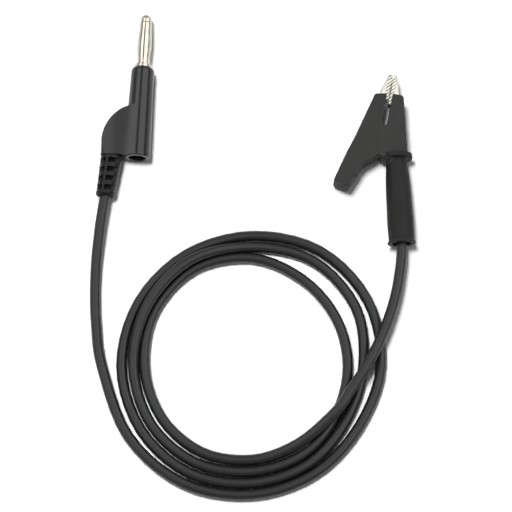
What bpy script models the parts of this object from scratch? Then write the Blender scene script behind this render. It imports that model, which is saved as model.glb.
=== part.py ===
"""Alligator test lead: a stackable 4 mm plug, an alligator clip in a soft boot, and one cable between them.

Metres, +Z up. The lead lies on the surface z = 0 and is seen from above, with both tips towards +Y. Each end
is drawn along the Y axis of its own frame: the plug from its rear face, the clip from its handle's mouth.
"""

import math

import bmesh
import bpy
from mathutils import Matrix, Vector

# Gaps and tolerances
FIT = 0.0003
HINGE_PLAY = 0.00015
MERGE = 0.000001
OVERRUN = 0.002
ROUND_SIDES = 32
SMALL_SIDES = 24
CRIMP_SIDES = 16
FLAT_ANGLE = math.radians(0.5)

# Where the two ends lie: place of each frame on the surface, and its turn about +Z in degrees
PLUG_PLACE = (-0.03864, -0.01023)
PLUG_TURN = -2.68
CLIP_PLACE = (0.0466, -0.03914)
CLIP_TURN = 2.3

# Cable
CABLE_RADIUS = 0.0017
STRAND_RADIUS = 0.00075
CABLE_IN_HANDLE = 0.012

# Plug: socket body, turned brass
SOCKET_BORE_RADIUS = 0.002
SOCKET_WALL = 0.0005
SOCKET_SET_BACK = 0.002
SOCKET_FLOOR = 0.005
FLANGE_STEP = 0.00045
FLANGE_LENGTH = 0.0015
FLANGE_FROM_NOSE = 0.0064
COLLAR_STEP = 0.00035
COLLAR_LENGTH = 0.0012
COLLAR_STRAIGHT = 0.0002
COLLAR_FALL = 0.0002
CAGE_SEAT_DEPTH = 0.0005
CAGE_SEAT_PLAY = 0.0001
WIRE_GROOVE_DEPTH = 0.00035
WIRE_HEIGHT = 0.0102
PIN_TAIL_RADIUS = 0.00125
PIN_TAIL_LENGTH = 0.0072

# Plug: pin and its sprung cage
CAGE_RADIUS = 0.00205
CAGE_SHEET = 0.00022
CAGE_LENGTH = 0.01455
CAGE_BAND = 0.00205
CAGE_BULGE = 0.0003
CAGE_SLIT = 0.00035
CAGE_BOW_STEPS = 8
PIN_WAIST_CUT = 0.00045
PIN_LAND = 0.0017
PIN_HEAD_RADIUS = 0.0019
PIN_HEAD_STRAIGHT = 0.0011
PIN_HEAD_LENGTH = 0.0027
PIN_NOSE_FLAT = 0.0005
PIN_NOSE_STEPS = 5

# Plug: moulded housing
BARREL_LENGTH = 0.03075
BARREL_WALL = 0.0005
BARREL_TAPER = 0.0005
BARREL_EDGE = 0.0004
NOSE_WALL = 0.0003
NOSE_LENGTH = 0.0013
NOSE_CROWN_FALL = 0.3
NOSE_CROWN_FROM_TIP = 0.35
WEB_REACH = 0.01175
WEB_STRAIGHT = 0.0048
WEB_ARC_RADIUS = 0.013
WEB_ARC_END = 100
WEB_ARC_STEPS = 10
WEB_BELOW_CROWN = 0.0006
WEB_EDGE_ROUND = 0.0015
WEB_RISE = 0.00025
WIRE_BEND_RADIUS = 0.0015
WIRE_CHANNEL_GAP = 0.0004

# Plug: strain relief
RELIEF_LENGTH = 0.0133
RELIEF_ROOT_RADIUS = 0.00355
RELIEF_TIP_RADIUS = 0.00295
RELIEF_END_RADIUS = 0.00315
RELIEF_END_LENGTH = 0.0017
RELIEF_CORE_WALL = 0.00065
RELIEF_FIRST_GROOVE = 0.0011
RELIEF_PITCH = 0.003
RELIEF_GROOVE = 0.0014
RELIEF_GROOVES = 4
RELIEF_WALL_SINK = 0.0001
RELIEF_WALL_STEPS = 4
RELIEF_LEAN = 0.095
RELIEF_STEM_RADIUS = 0.0024
RELIEF_STEM_LENGTH = 0.006

# Plug: the walls that join the relief's rings, by the middle and the half width of each pair in degrees round
# the relief's axis, from +X towards +Z
RELIEF_WALLS = {"upper_wall": (107, 7.5), "side_wall": (17, 30)}

# Clip: the pivot from the middle of the handle's mouth, the guard ring's underside from the pivot, and the
# angle between the jaws' backs in degrees
PIVOT_HEIGHT = 0.0355
HANDLE_OFFSET = 0.00445
GUARD_DROP = 0.0074
BACK_ANGLE = 27.0

# Clip: jaws, folded from one sheet thickness
JAW_SHEET = 0.00045
JAW_FOLD = 0.0004
JAW_HALF_WIDTH = 0.00215
JAW_LENGTH = 0.02175
JAW_TIP_HALF_WIDTH = 0.0015
JAW_TIP_DEPTH = 0.0011
NOSE_TAPER_LENGTH = 0.0034
BITE_GAP = 0.0003
TOOTH_PITCH = 0.0015
TOOTH_HEIGHT = 0.00035
TEETH = 7
MOVING_JAW_TEETH = 6
THROAT_HALF = 0.00105
THROAT_START = 0.0045
EAR_RADIUS = 0.0028
EAR_GAP = 0.00025
INNER_EAR_TRIM = 0.0002
TAIL_HALF_WIDTH = 0.0015
TAIL_BACK = 0.00165
TAIL_DEPTH = 0.00285
TAIL_IN_HANDLE = 0.013
STRAND_GAP = 0.0003
CRIMP_STANDOUT = 0.0001
CRIMP_LENGTH = 0.0015
CRIMP_PLACES = (0.0145, 0.018)
CLIP_STRAND_LENGTH = 0.0087
LEVER_LENGTH = 0.0192
LEVER_DEPTH = 0.0024
LEVER_SWELL_START = 0.01
LEVER_SWELL = 0.0004
LEVER_NECK_START = 0.007
LEVER_NECK = 0.0011
LEVER_THROAT_START = 0.004
LEVER_THROAT_EDGE = 0.0005

# Clip: rivet and spring
RIVET_RADIUS = 0.001
RIVET_HEAD_RADIUS = 0.0017
RIVET_HEAD = 0.00025
SPRING_WIRE_RADIUS = 0.00025
SPRING_RADIUS = 0.00165
SPRING_PITCH = 0.00056
SPRING_TURNS = 2
SPRING_LEG_DROP = 0.0031

# Clip: boot
BOOT_WALL = 0.00085
BOOT_SIDE_WALL = 0.00075
BOOT_BACK = 0.0078
BOOT_EDGE = 0.0005
BOOT_FRONT = 0.0135
BOOT_FRONT_STEP = 0.00095
BOOT_CORNER = 0.0008
SLOT_HALF_WIDTH = 0.00092
SLOT_BOTTOM = 0.0046
SLOT_END_STEPS = 10
NOTCH_APEX = (-0.0015, -0.0061)
NOTCH_WALL = 0.0011
NOTCH_KNEE = (-0.0021, -0.0115)
NOTCH_FOOT_X = 0.0011
NOTCH_FOOT_DROP = 0.0005
CAVITY_ON_LEVER = 0.009
POCKET_GAP = 0.00035
POCKET_MOUTH = 0.008
POCKET_FLARE = 0.0006
GUARD_RADIUS = 0.0052
GUARD_THICKNESS = 0.0017
HANDLE_WALL = 0.0009
HANDLE_FLARE = 0.00065
HANDLE_LIP = 0.00045
HANDLE_LIP_LENGTH = 0.0006
HANDLE_LIP_RUN = 0.0003
MOUTH_RADIUS = 0.003
MOUTH_DEPTH = 0.006

# Clip: the end faces of a folded section, by its ten corners
CHANNEL_CAPS = ((0, 1, 2, 3, 6, 7), (3, 4, 5, 6), (7, 8, 9, 0))

# Cable route: bearings run clockwise from +Y about the middle of the turns
TURNS_MIDDLE = (-0.00126, -0.07812)
FIRST_BEARING = 120
BEARING_STEP = 30
TURN_RADII = (
    0.0302, 0.0287, 0.0297, 0.0315, 0.0328, 0.0340, 0.0358, 0.0366, 0.0351, 0.0324, 0.0309, 0.0303,
    0.0306, 0.0322, 0.0333, 0.0353, 0.0367, 0.0375, 0.0383, 0.0392, 0.0387, 0.0394, 0.0381, 0.0352,
    0.03425, 0.0357, 0.0369, 0.0390, 0.0403, 0.0413, 0.0416, 0.0420, 0.0425, 0.0434, 0.0426, 0.0408,
    0.0387, 0.0392, 0.0405, 0.0427, 0.0447, 0.0475,
)
RAISED = {120: 0.0053, 150: 0.0031, 630: 0.0026, 660: 0.0044, 690: 0.0043, 720: 0.0022}
SAMPLE_DEGREES = 18
CLIP_TAIL = (
    (0.0460, -0.0471, 0.0052), (0.0439, -0.0576, 0.0053), (0.0402, -0.0680, 0.0054),
    (0.0352, -0.0781, 0.0054), (0.0294, -0.0868, 0.0054),
)
PLUG_TAIL = (
    (-0.0509, -0.0640, 0.0017), (-0.0514, -0.0540, 0.0019), (-0.0512, -0.0445, 0.0027),
    (-0.0505, -0.0365, 0.0036), (-0.0497, -0.0295, 0.00415),
)

# Sizes that follow from the ones above
HALF_ANGLE = math.radians(BACK_ANGLE / 2)
SOCKET_RADIUS = SOCKET_BORE_RADIUS + SOCKET_WALL
HOUSING_BORE = SOCKET_RADIUS + FIT
FLANGE_RADIUS = SOCKET_RADIUS + FLANGE_STEP
BARREL_FRONT_RADIUS = FLANGE_RADIUS + FIT + BARREL_WALL
BARREL_REAR_RADIUS = BARREL_FRONT_RADIUS + BARREL_TAPER
WEB_HALF = BARREL_REAR_RADIUS - WEB_BELOW_CROWN
FLANGE_START = BARREL_LENGTH - FLANGE_FROM_NOSE - FLANGE_LENGTH
COLLAR_START = BARREL_LENGTH + FIT
COLLAR_FRONT = COLLAR_START + COLLAR_LENGTH
PIN_BORE_END = COLLAR_FRONT - PIN_TAIL_LENGTH
CAGE_SEAT_FLOOR = COLLAR_FRONT - CAGE_SEAT_DEPTH
CAGE_SEAT_RADIUS = CAGE_RADIUS + CAGE_BULGE + CAGE_SEAT_PLAY
CAGE_START = CAGE_SEAT_FLOOR + FIT
CAGE_END = CAGE_START + CAGE_LENGTH
RELIEF_OFFSET = RELIEF_ROOT_RADIUS - WEB_REACH
RELIEF_CORE = CABLE_RADIUS + RELIEF_CORE_WALL
RELIEF_TOP = WEB_RISE - FIT

JAW_BACK = BOOT_BACK - BOOT_WALL - FIT
INNER_EAR_HALF = JAW_HALF_WIDTH - JAW_SHEET - EAR_GAP
EAR_HOLE = RIVET_RADIUS + HINGE_PLAY
CAVITY_HALF = JAW_HALF_WIDTH + RIVET_HEAD + 2 * HINGE_PLAY
BOOT_HALF = CAVITY_HALF + BOOT_SIDE_WALL
CAVITY_BACK = BOOT_BACK - BOOT_WALL
TAIL_INNER = TAIL_BACK - TAIL_DEPTH
GUARD_HEIGHT = PIVOT_HEIGHT - GUARD_DROP
TAIL_TURN = GUARD_THICKNESS - GUARD_DROP
STRAND_X = TAIL_BACK - JAW_SHEET - STRAND_GAP - STRAND_RADIUS
CRIMP_BORE = TAIL_HALF_WIDTH - JAW_SHEET + CRIMP_STANDOUT
CRIMP_RADIUS = TAIL_HALF_WIDTH + CRIMP_STANDOUT
HANDLE_BORE = max(math.hypot(TAIL_BACK, TAIL_HALF_WIDTH) + FIT, CABLE_RADIUS + FIT)


# Scene, finishes and objects

def clear_scene():
    for old in list(bpy.data.objects):
        bpy.data.objects.remove(old, do_unlink=True)


def make_finish(name, colour, roughness, metallic=0.0):
    finish = bpy.data.materials.new(name)
    finish.use_nodes = True
    shader = finish.node_tree.nodes["Principled BSDF"]
    shader.inputs["Base Color"].default_value = (*colour, 1.0)
    shader.inputs["Roughness"].default_value = roughness
    shader.inputs["Metallic"].default_value = metallic
    finish.diffuse_color = (*colour, 1.0)
    return finish


def frame_empty(name, place, height, turn):
    empty = bpy.data.objects.new(name, None)
    bpy.context.collection.objects.link(empty)
    empty.location = (*place, height)
    empty.rotation_euler = (0.0, 0.0, math.radians(turn))
    return empty


def placed(name, data, finish, parent):
    thing = bpy.data.objects.new(name, data)
    bpy.context.collection.objects.link(thing)
    thing.parent = parent
    if finish:
        data.materials.append(finish)
    return thing


def finished(bm, name, finish, parent):
    """Closes a bmesh into a named object, smooth on its round faces and sharp on its edges."""
    bmesh.ops.recalc_face_normals(bm, faces=bm.faces)
    mesh = bpy.data.meshes.new(name)
    bm.to_mesh(mesh)
    bm.free()
    mesh.shade_smooth()
    mesh.set_sharp_from_angle(angle=math.radians(35))
    return placed(name, mesh, finish, parent)


def combine(body, tool, operation):
    modifier = body.modifiers.new(tool.name, "BOOLEAN")
    modifier.operation = operation
    modifier.solver = "EXACT"
    modifier.object = tool
    tool.hide_render = True
    tool.display_type = "WIRE"


# Ways of making a form

def turned(name, profile, finish, parent, sides=ROUND_SIDES, ring=False, lean=0.0):
    """A body turned about its Y axis from (radius, y) points; a ring's profile is closed.

    A lean slides each slice sideways by its height, so the axis slants and the end faces stay level.
    """
    bm = bmesh.new()
    points = [bm.verts.new((radius, y, 0.0)) for radius, y in profile]
    pairs = list(zip(points, points[1:]))
    if ring:
        pairs.append((points[-1], points[0]))
    edges = [bm.edges.new(pair) for pair in pairs]
    bmesh.ops.spin(bm, geom=points + edges, axis=(0, 1, 0), cent=(0, 0, 0), angle=math.tau, steps=sides,
                   use_merge=True)
    bmesh.ops.remove_doubles(bm, verts=bm.verts, dist=MERGE)
    for vert in bm.verts:
        vert.co.x += lean * vert.co.y
    return finished(bm, name, finish, parent)


def plate(name, outline, half, finish=None, parent=None, rounding=0.0, segments=2, rounded=None):
    """A flat plate from an outline in XY; the rims of the outline's edges named in rounded are rounded."""
    bm = bmesh.new()
    rims = [[bm.verts.new((x, y, z)) for x, y in outline] for z in (-half, half)]
    for rim in rims:
        bm.faces.new(rim)
    count = len(outline)
    for i in range(count):
        j = (i + 1) % count
        bm.faces.new((rims[0][i], rims[0][j], rims[1][j], rims[1][i]))
    if rounding:
        chosen = range(count) if rounded is None else rounded
        edges = [bm.edges.get((rim[i], rim[(i + 1) % count])) for rim in rims for i in chosen]
        bmesh.ops.bevel(bm, geom=edges, offset=rounding, segments=segments, profile=0.5, affect="EDGES")
        bmesh.ops.connect_verts_nonplanar(bm, angle_limit=FLAT_ANGLE, faces=bm.faces)
    return finished(bm, name, finish, parent)


def loft(name, sections, caps, finish=None, parent=None):
    """A body through closed sections of equal numbers of corners; caps names the corners of its end faces."""
    bm = bmesh.new()
    rings = [[bm.verts.new(corner) for corner in section] for section in sections]
    for cap in caps:
        bm.faces.new([rings[0][i] for i in cap])
        bm.faces.new([rings[-1][i] for i in cap])
    count = len(rings[0])
    for near, far in zip(rings, rings[1:]):
        for i in range(count):
            j = (i + 1) % count
            bm.faces.new((near[i], near[j], far[j], far[i]))
    bmesh.ops.connect_verts_nonplanar(bm, angle_limit=FLAT_ANGLE, faces=bm.faces)
    return finished(bm, name, finish, parent)


def channel_section(back, edge, half):
    """Ten corners of a folded U section: its back at one point of the plane, its open side at another."""
    inward = (edge - back).normalized()
    bend = back + inward * JAW_FOLD
    floor = back + inward * JAW_SHEET
    inside = half - JAW_SHEET
    corners = ((bend, half), (back, half - JAW_FOLD), (back, JAW_FOLD - half), (bend, -half), (edge, -half),
               (edge, -inside), (floor, -inside), (floor, inside), (edge, inside), (edge, half))
    return [Vector((point.x, point.y, z)) for point, z in corners]


def wire(name, points, radius, finish, parent, resolution=2):
    """A round wire or cable with closed ends through the points."""
    curve = bpy.data.curves.new(name, "CURVE")
    curve.dimensions = "3D"
    curve.bevel_depth = radius
    curve.bevel_resolution = resolution
    curve.use_fill_caps = True
    spline = curve.splines.new("POLY")
    spline.points.add(len(points) - 1)
    for knot, point in zip(spline.points, points):
        knot.co = (*point, 1.0)
    return placed(name, curve, finish, parent)


def arc(centre, radius, start, end, steps):
    """Points on an arc in XY, with its angles in degrees."""
    angles = [math.radians(start + (end - start) * i / steps) for i in range(steps + 1)]
    return [(centre[0] + radius * math.cos(a), centre[1] + radius * math.sin(a)) for a in angles]


# Plug

def web_outline():
    """The web beside the barrel: a flat underside, a straight outer edge and an arc into the barrel."""
    centre = (WEB_ARC_RADIUS - WEB_REACH, WEB_STRAIGHT)
    outer = arc(centre, WEB_ARC_RADIUS, 180, WEB_ARC_END, WEB_ARC_STEPS)
    return [(0.0, WEB_RISE), (-WEB_REACH, WEB_RISE), *outer, (0.0, outer[-1][1])]


def strand_path(start, end_x):
    """The bared strands inside the web: up from the relief, then across to the socket body."""
    x = relief_centre(RELIEF_STEM_LENGTH)
    bend = arc((x + WIRE_BEND_RADIUS, WIRE_HEIGHT - WIRE_BEND_RADIUS), WIRE_BEND_RADIUS, 180, 90, 4)
    return [(px, py, 0.0) for px, py in [(x, start), *bend, (end_x, WIRE_HEIGHT)]]


def relief_centre(y):
    return RELIEF_OFFSET + RELIEF_LEAN * y


def make_housing(finish, frame):
    nose_radius = HOUSING_BORE + NOSE_WALL
    barrel = turned("plug_housing", [
        (0.0, 0.0), (BARREL_REAR_RADIUS - BARREL_EDGE, 0.0), (BARREL_REAR_RADIUS, BARREL_EDGE),
        (BARREL_FRONT_RADIUS, BARREL_LENGTH - NOSE_LENGTH),
        (BARREL_FRONT_RADIUS - NOSE_CROWN_FALL * (BARREL_FRONT_RADIUS - nose_radius),
         BARREL_LENGTH - NOSE_CROWN_FROM_TIP * NOSE_LENGTH),
        (nose_radius, BARREL_LENGTH), (0.0, BARREL_LENGTH)], finish, frame)
    outline = web_outline()
    web = plate("web", outline, WEB_HALF, parent=frame, rounding=WEB_EDGE_ROUND, segments=3,
                rounded=range(1, len(outline) - 2))
    combine(barrel, web, "UNION")
    stem = RELIEF_STEM_RADIUS + FIT
    pocket = turned("relief_pocket", [
        (0.0, -OVERRUN), (stem, -OVERRUN), (stem, RELIEF_STEM_LENGTH + FIT), (0.0, RELIEF_STEM_LENGTH + FIT)],
        None, frame, sides=SMALL_SIDES, lean=RELIEF_LEAN)
    pocket.location.x = RELIEF_OFFSET
    combine(barrel, pocket, "DIFFERENCE")
    path = strand_path(RELIEF_STEM_LENGTH, 0.0)
    guide = wire("wire_channel_guide", path, STRAND_RADIUS + WIRE_CHANNEL_GAP, None, frame)
    channel = placed("wire_channel", bpy.data.meshes.new_from_object(guide), None, frame)
    bpy.data.objects.remove(guide)
    combine(barrel, channel, "DIFFERENCE")
    groove = FLANGE_RADIUS + FIT
    bore = turned("housing_bore", [
        (0.0, -OVERRUN), (HOUSING_BORE, -OVERRUN), (HOUSING_BORE, FLANGE_START - FIT),
        (groove, FLANGE_START - FIT), (groove, FLANGE_START + FLANGE_LENGTH + FIT),
        (HOUSING_BORE, FLANGE_START + FLANGE_LENGTH + FIT),
        (HOUSING_BORE, BARREL_LENGTH + OVERRUN), (0.0, BARREL_LENGTH + OVERRUN)], None, frame)
    combine(barrel, bore, "DIFFERENCE")


def relief_radius(y):
    return RELIEF_ROOT_RADIUS + (RELIEF_ROOT_RADIUS - RELIEF_TIP_RADIUS) * y / RELIEF_LENGTH


def wall_section(y, middle, half):
    """Corners of one slice through a pair of opposite walls, joined through the relief's core."""
    radius = relief_radius(y) - RELIEF_WALL_SINK
    corners = []
    for start in (middle - half, middle - half + 180):
        rim = arc((relief_centre(y), 0.0), radius, start, start + 2 * half, RELIEF_WALL_STEPS)
        corners += [(x, y, z) for x, z in rim]
    return corners


def make_relief(finish, frame):
    """A slotted, tapered relief, moulded onto the cable, whose stem is held in the web."""
    profile = [(0.0, RELIEF_STEM_LENGTH), (RELIEF_STEM_RADIUS, RELIEF_STEM_LENGTH),
               (RELIEF_STEM_RADIUS, RELIEF_TOP), (relief_radius(RELIEF_TOP), RELIEF_TOP)]
    for k in range(RELIEF_GROOVES):
        upper = -RELIEF_FIRST_GROOVE - k * RELIEF_PITCH
        lower = upper - RELIEF_GROOVE
        profile += [(relief_radius(upper), upper), (RELIEF_CORE, upper), (RELIEF_CORE, lower),
                    (relief_radius(lower), lower)]
    end = -RELIEF_LENGTH
    edge = RELIEF_END_LENGTH / 4
    profile += [(RELIEF_END_RADIUS, end + RELIEF_END_LENGTH - edge), (RELIEF_END_RADIUS, end + 2 * edge),
                (RELIEF_END_RADIUS - edge, end + edge / 2), (RELIEF_END_RADIUS - 2 * edge, end), (0.0, end)]
    relief = turned("strain_relief", profile, finish, frame, sides=SMALL_SIDES, lean=RELIEF_LEAN)
    relief.location.x = RELIEF_OFFSET
    ends = (RELIEF_TOP - FIT, RELIEF_END_LENGTH / 2 - RELIEF_LENGTH)
    for name, (middle, half) in RELIEF_WALLS.items():
        sections = [wall_section(y, middle, half) for y in ends]
        walls = loft(name, sections, [range(len(sections[0]))], parent=frame)
        combine(relief, walls, "UNION")


def make_socket_body(finish, frame):
    """Turned brass: the 4 mm socket at its rear, the pin's bore and the cage's seat in its front collar."""
    collar = SOCKET_RADIUS + COLLAR_STEP
    groove = SOCKET_RADIUS - WIRE_GROOVE_DEPTH
    groove_half = STRAND_RADIUS + WIRE_GROOVE_DEPTH
    bore_end = PIN_BORE_END - SOCKET_FLOOR
    pin_bore = PIN_TAIL_RADIUS + FIT
    turned("socket_body", [
        (0.0, bore_end), (SOCKET_BORE_RADIUS, bore_end), (SOCKET_BORE_RADIUS, SOCKET_SET_BACK),
        (SOCKET_RADIUS, SOCKET_SET_BACK), (SOCKET_RADIUS, WIRE_HEIGHT - groove_half),
        (groove, WIRE_HEIGHT - groove_half), (groove, WIRE_HEIGHT + groove_half),
        (SOCKET_RADIUS, WIRE_HEIGHT + groove_half), (SOCKET_RADIUS, FLANGE_START),
        (FLANGE_RADIUS, FLANGE_START), (FLANGE_RADIUS, FLANGE_START + FLANGE_LENGTH),
        (SOCKET_RADIUS, FLANGE_START + FLANGE_LENGTH),
        (SOCKET_RADIUS, COLLAR_START), (collar, COLLAR_START), (collar, COLLAR_START + COLLAR_STRAIGHT),
        (collar - COLLAR_FALL, COLLAR_FRONT), (CAGE_SEAT_RADIUS, COLLAR_FRONT),
        (CAGE_SEAT_RADIUS, CAGE_SEAT_FLOOR), (pin_bore, CAGE_SEAT_FLOOR), (pin_bore, PIN_BORE_END),
        (0.0, PIN_BORE_END)], finish, frame, sides=SMALL_SIDES)


def make_pin(finish, frame):
    """The pin: a tail in the socket body, two lands that carry the cage, and a round head."""
    land = CAGE_RADIUS - CAGE_SHEET - FIT
    waist = land - PIN_WAIST_CUT
    head = CAGE_END + FIT
    nose = PIN_HEAD_LENGTH - PIN_HEAD_STRAIGHT
    dome = []
    for i in range(PIN_NOSE_STEPS + 1):
        a = math.pi / 2 * i / PIN_NOSE_STEPS
        radius = PIN_NOSE_FLAT + (PIN_HEAD_RADIUS - PIN_NOSE_FLAT) * math.cos(a)
        dome.append((radius, head + PIN_HEAD_STRAIGHT + nose * math.sin(a)))
    turned("pin_core", [
        (0.0, PIN_BORE_END + FIT), (PIN_TAIL_RADIUS, PIN_BORE_END + FIT), (PIN_TAIL_RADIUS, CAGE_START),
        (land, CAGE_START), (land, CAGE_START + PIN_LAND), (waist, CAGE_START + PIN_LAND + PIN_WAIST_CUT),
        (waist, CAGE_END - PIN_LAND - PIN_WAIST_CUT), (land, CAGE_END - PIN_LAND), (land, head),
        (PIN_HEAD_RADIUS, head), *dome, (0.0, head + PIN_HEAD_LENGTH)], finish, frame, sides=SMALL_SIDES)


def make_cage(finish, frame):
    """A sleeve slit into four bowed leaves between two bands; it turns freely on the pin."""
    leaf_start = CAGE_START + CAGE_BAND
    leaf = CAGE_LENGTH - 2 * CAGE_BAND
    shares = [k / CAGE_BOW_STEPS for k in range(CAGE_BOW_STEPS + 1)]
    bow = [(CAGE_RADIUS + CAGE_BULGE * math.sin(math.pi * t), leaf_start + leaf * t) for t in shares]
    outer = [(CAGE_RADIUS, CAGE_START), *bow, (CAGE_RADIUS, CAGE_END)]
    inner = [(radius - CAGE_SHEET, y) for radius, y in reversed(outer)]
    cage = turned("spring_cage", outer + inner, finish, frame, sides=SMALL_SIDES, ring=True)
    half = CAGE_SLIT / 2
    reach = CAGE_RADIUS + OVERRUN
    slit = [(-half, leaf_start), (half, leaf_start), (half, leaf_start + leaf), (-half, leaf_start + leaf)]
    for name, turn in (("slits_upright", 0.0), ("slits_level", math.pi / 2)):
        cutter = plate(name, slit, reach, parent=frame)
        cutter.rotation_euler = (0.0, turn, 0.0)
        combine(cage, cutter, "DIFFERENCE")


def make_plug_conductor(finish, frame):
    groove = SOCKET_RADIUS - WIRE_GROOVE_DEPTH
    wire("plug_conductor", strand_path(RELIEF_STEM_LENGTH + FIT, -groove - FIT), STRAND_RADIUS, finish, frame)


# Clip

def along_handle(x, y):
    """A point from the pivot, in line with the handle."""
    return Vector((x, y))


def along_bite(u, v):
    """A point from the pivot, v along the line where the jaws meet and u across it, away from the lever."""
    return Vector((u * math.cos(HALF_ANGLE) + v * math.sin(HALF_ANGLE),
                   v * math.cos(HALF_ANGLE) - u * math.sin(HALF_ANGLE)))


def along_lever(x, y):
    """A point from the pivot, in line with the lever."""
    turn = 2 * HALF_ANGLE
    return Vector((x * math.cos(turn) + y * math.sin(turn), y * math.cos(turn) - x * math.sin(turn)))


def back_across(v):
    """How far a jaw's straight back lies from the bite line."""
    return (JAW_BACK - v * math.sin(HALF_ANGLE)) / math.cos(HALF_ANGLE)


def jaw_front(lead, neck_half, teeth):
    """Stations (back, edge, half width) of a jaw from the throat to its tip.

    The teeth of both jaws follow one zigzag, with lead +1 on the fixed jaw and -1 on the moving one, whose
    row is shorter at the throat. The moving jaw's neck is narrow, to pass between the fixed jaw's ears.
    """
    teeth_start = JAW_LENGTH - (TEETH - 0.5) * TOOTH_PITCH - TOOTH_PITCH / 4
    widening = teeth_start - 2 * TOOTH_PITCH
    taper_start = JAW_LENGTH - NOSE_TAPER_LENGTH
    first = 2 * (TEETH - teeth)
    throat_end = teeth_start + (first - 0.5) * TOOTH_PITCH / 2

    def station(v, edge):
        half = JAW_HALF_WIDTH
        if v < widening:
            half = neck_half
        if v > teeth_start:
            share = (v - teeth_start) / (JAW_LENGTH - teeth_start)
            half += (JAW_TIP_HALF_WIDTH - JAW_HALF_WIDTH) * share
        back = back_across(v)
        if v > taper_start:
            share = (v - taper_start) / NOSE_TAPER_LENGTH
            back = back_across(taper_start) * (1 - share) + (JAW_TIP_DEPTH + BITE_GAP / 2) * share
        return along_bite(back, v), along_bite(edge, v), half

    stations = [station(THROAT_START, THROAT_HALF), station(THROAT_START + TOOTH_PITCH, THROAT_HALF),
                station(widening, THROAT_HALF), station(throat_end, THROAT_HALF)]
    for k in range(first, 2 * TEETH):
        rise = TOOTH_HEIGHT / 2 * (1 if k % 2 else -1)
        stations.append(station(teeth_start + k * TOOTH_PITCH / 2, BITE_GAP / 2 + lead * rise))
    stations.append(station(JAW_LENGTH, BITE_GAP / 2))
    return stations


def ear(radius, half):
    """Stations of the ears round the pivot, which stand in line with the jaw's tail."""
    angles = [math.radians(a) for a in (-75, -45, -15, 15, 45, 75)]
    return [(along_handle(JAW_BACK, radius * math.sin(a)),
             along_handle(-radius * math.cos(a), radius * math.sin(a)), half) for a in angles]


def jaw(name, stations, finish, parent, mirrored=False):
    """A folded jaw with its ears' holes; the moving jaw is drawn as the fixed one's mirror image."""
    side = Vector((-1 if mirrored else 1, 1))
    sections = [channel_section(side * back, side * edge, half) for back, edge, half in stations]
    body = loft(name, sections, CHANNEL_CAPS, finish, parent)
    rim = arc((0.0, 0.0), EAR_HOLE, 0, 360, SMALL_SIDES)[1:]
    hole = plate(name + "_hole", rim, JAW_HALF_WIDTH + OVERRUN, parent=parent)
    combine(body, hole, "DIFFERENCE")
    return body, hole


def make_fixed_jaw(finish, pivot):
    tail_end = TAIL_IN_HANDLE - PIVOT_HEIGHT
    tail_back = HANDLE_OFFSET + TAIL_BACK
    tail_edge = HANDLE_OFFSET + TAIL_INNER
    stations = [
        (along_handle(tail_back, tail_end), along_handle(tail_edge, tail_end), TAIL_HALF_WIDTH),
        (along_handle(tail_back, TAIL_TURN), along_handle(tail_edge, TAIL_TURN), TAIL_HALF_WIDTH),
        (along_handle(JAW_BACK, -EAR_RADIUS - FIT), along_handle(HANDLE_OFFSET / 2, -EAR_RADIUS - FIT),
         JAW_HALF_WIDTH),
        *ear(EAR_RADIUS, JAW_HALF_WIDTH), *jaw_front(1, JAW_HALF_WIDTH, TEETH)]
    body, _ = jaw("fixed_jaw", stations, finish, pivot)
    band = [(CRIMP_BORE, 0.0), (CRIMP_RADIUS, 0.0), (CRIMP_RADIUS, CRIMP_LENGTH), (CRIMP_BORE, CRIMP_LENGTH)]
    for k, place in enumerate(CRIMP_PLACES):
        crimp = turned(f"crimp_band_{k + 1}", band, None, pivot, sides=CRIMP_SIDES, ring=True)
        crimp.location = (HANDLE_OFFSET + STRAND_X, place - PIVOT_HEIGHT, 0.0)
        combine(body, crimp, "UNION")


def make_moving_jaw(finish, pivot):
    """Drawn in its own frame, whose origin is on the rivet's axis, and turned by the angle of the backs."""
    radius = EAR_RADIUS - INNER_EAR_TRIM
    edge = JAW_BACK - LEVER_DEPTH
    stations = [
        (along_handle(JAW_BACK, -LEVER_LENGTH), along_handle(edge, -LEVER_LENGTH), INNER_EAR_HALF),
        (along_handle(JAW_BACK, -LEVER_SWELL_START), along_handle(edge - LEVER_SWELL, -LEVER_SWELL_START),
         INNER_EAR_HALF),
        (along_handle(JAW_BACK, -LEVER_NECK_START), along_handle(edge - LEVER_NECK, -LEVER_NECK_START),
         INNER_EAR_HALF),
        (along_handle(JAW_BACK, -LEVER_THROAT_START), along_handle(LEVER_THROAT_EDGE, -LEVER_THROAT_START),
         INNER_EAR_HALF),
        *ear(radius, INNER_EAR_HALF), *jaw_front(-1, INNER_EAR_HALF, MOVING_JAW_TEETH)]
    for part in jaw("moving_jaw", stations, finish, pivot, mirrored=True):
        part.rotation_euler = (0.0, 0.0, -2 * HALF_ANGLE)


def make_rivet(finish, pivot):
    """A rivet through both pairs of ears, drawn along Y and laid along the joint's axis."""
    under = JAW_HALF_WIDTH + HINGE_PLAY
    top = under + RIVET_HEAD
    half = [(RIVET_RADIUS, under), (RIVET_HEAD_RADIUS, under), (RIVET_HEAD_RADIUS - RIVET_HEAD / 2, top),
            (0.0, top)]
    profile = [(radius, -y) for radius, y in reversed(half)] + half
    rivet = turned("jaw_pivot", profile, finish, pivot, sides=SMALL_SIDES)
    rivet.rotation_euler = (math.pi / 2, 0.0, 0.0)


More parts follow.
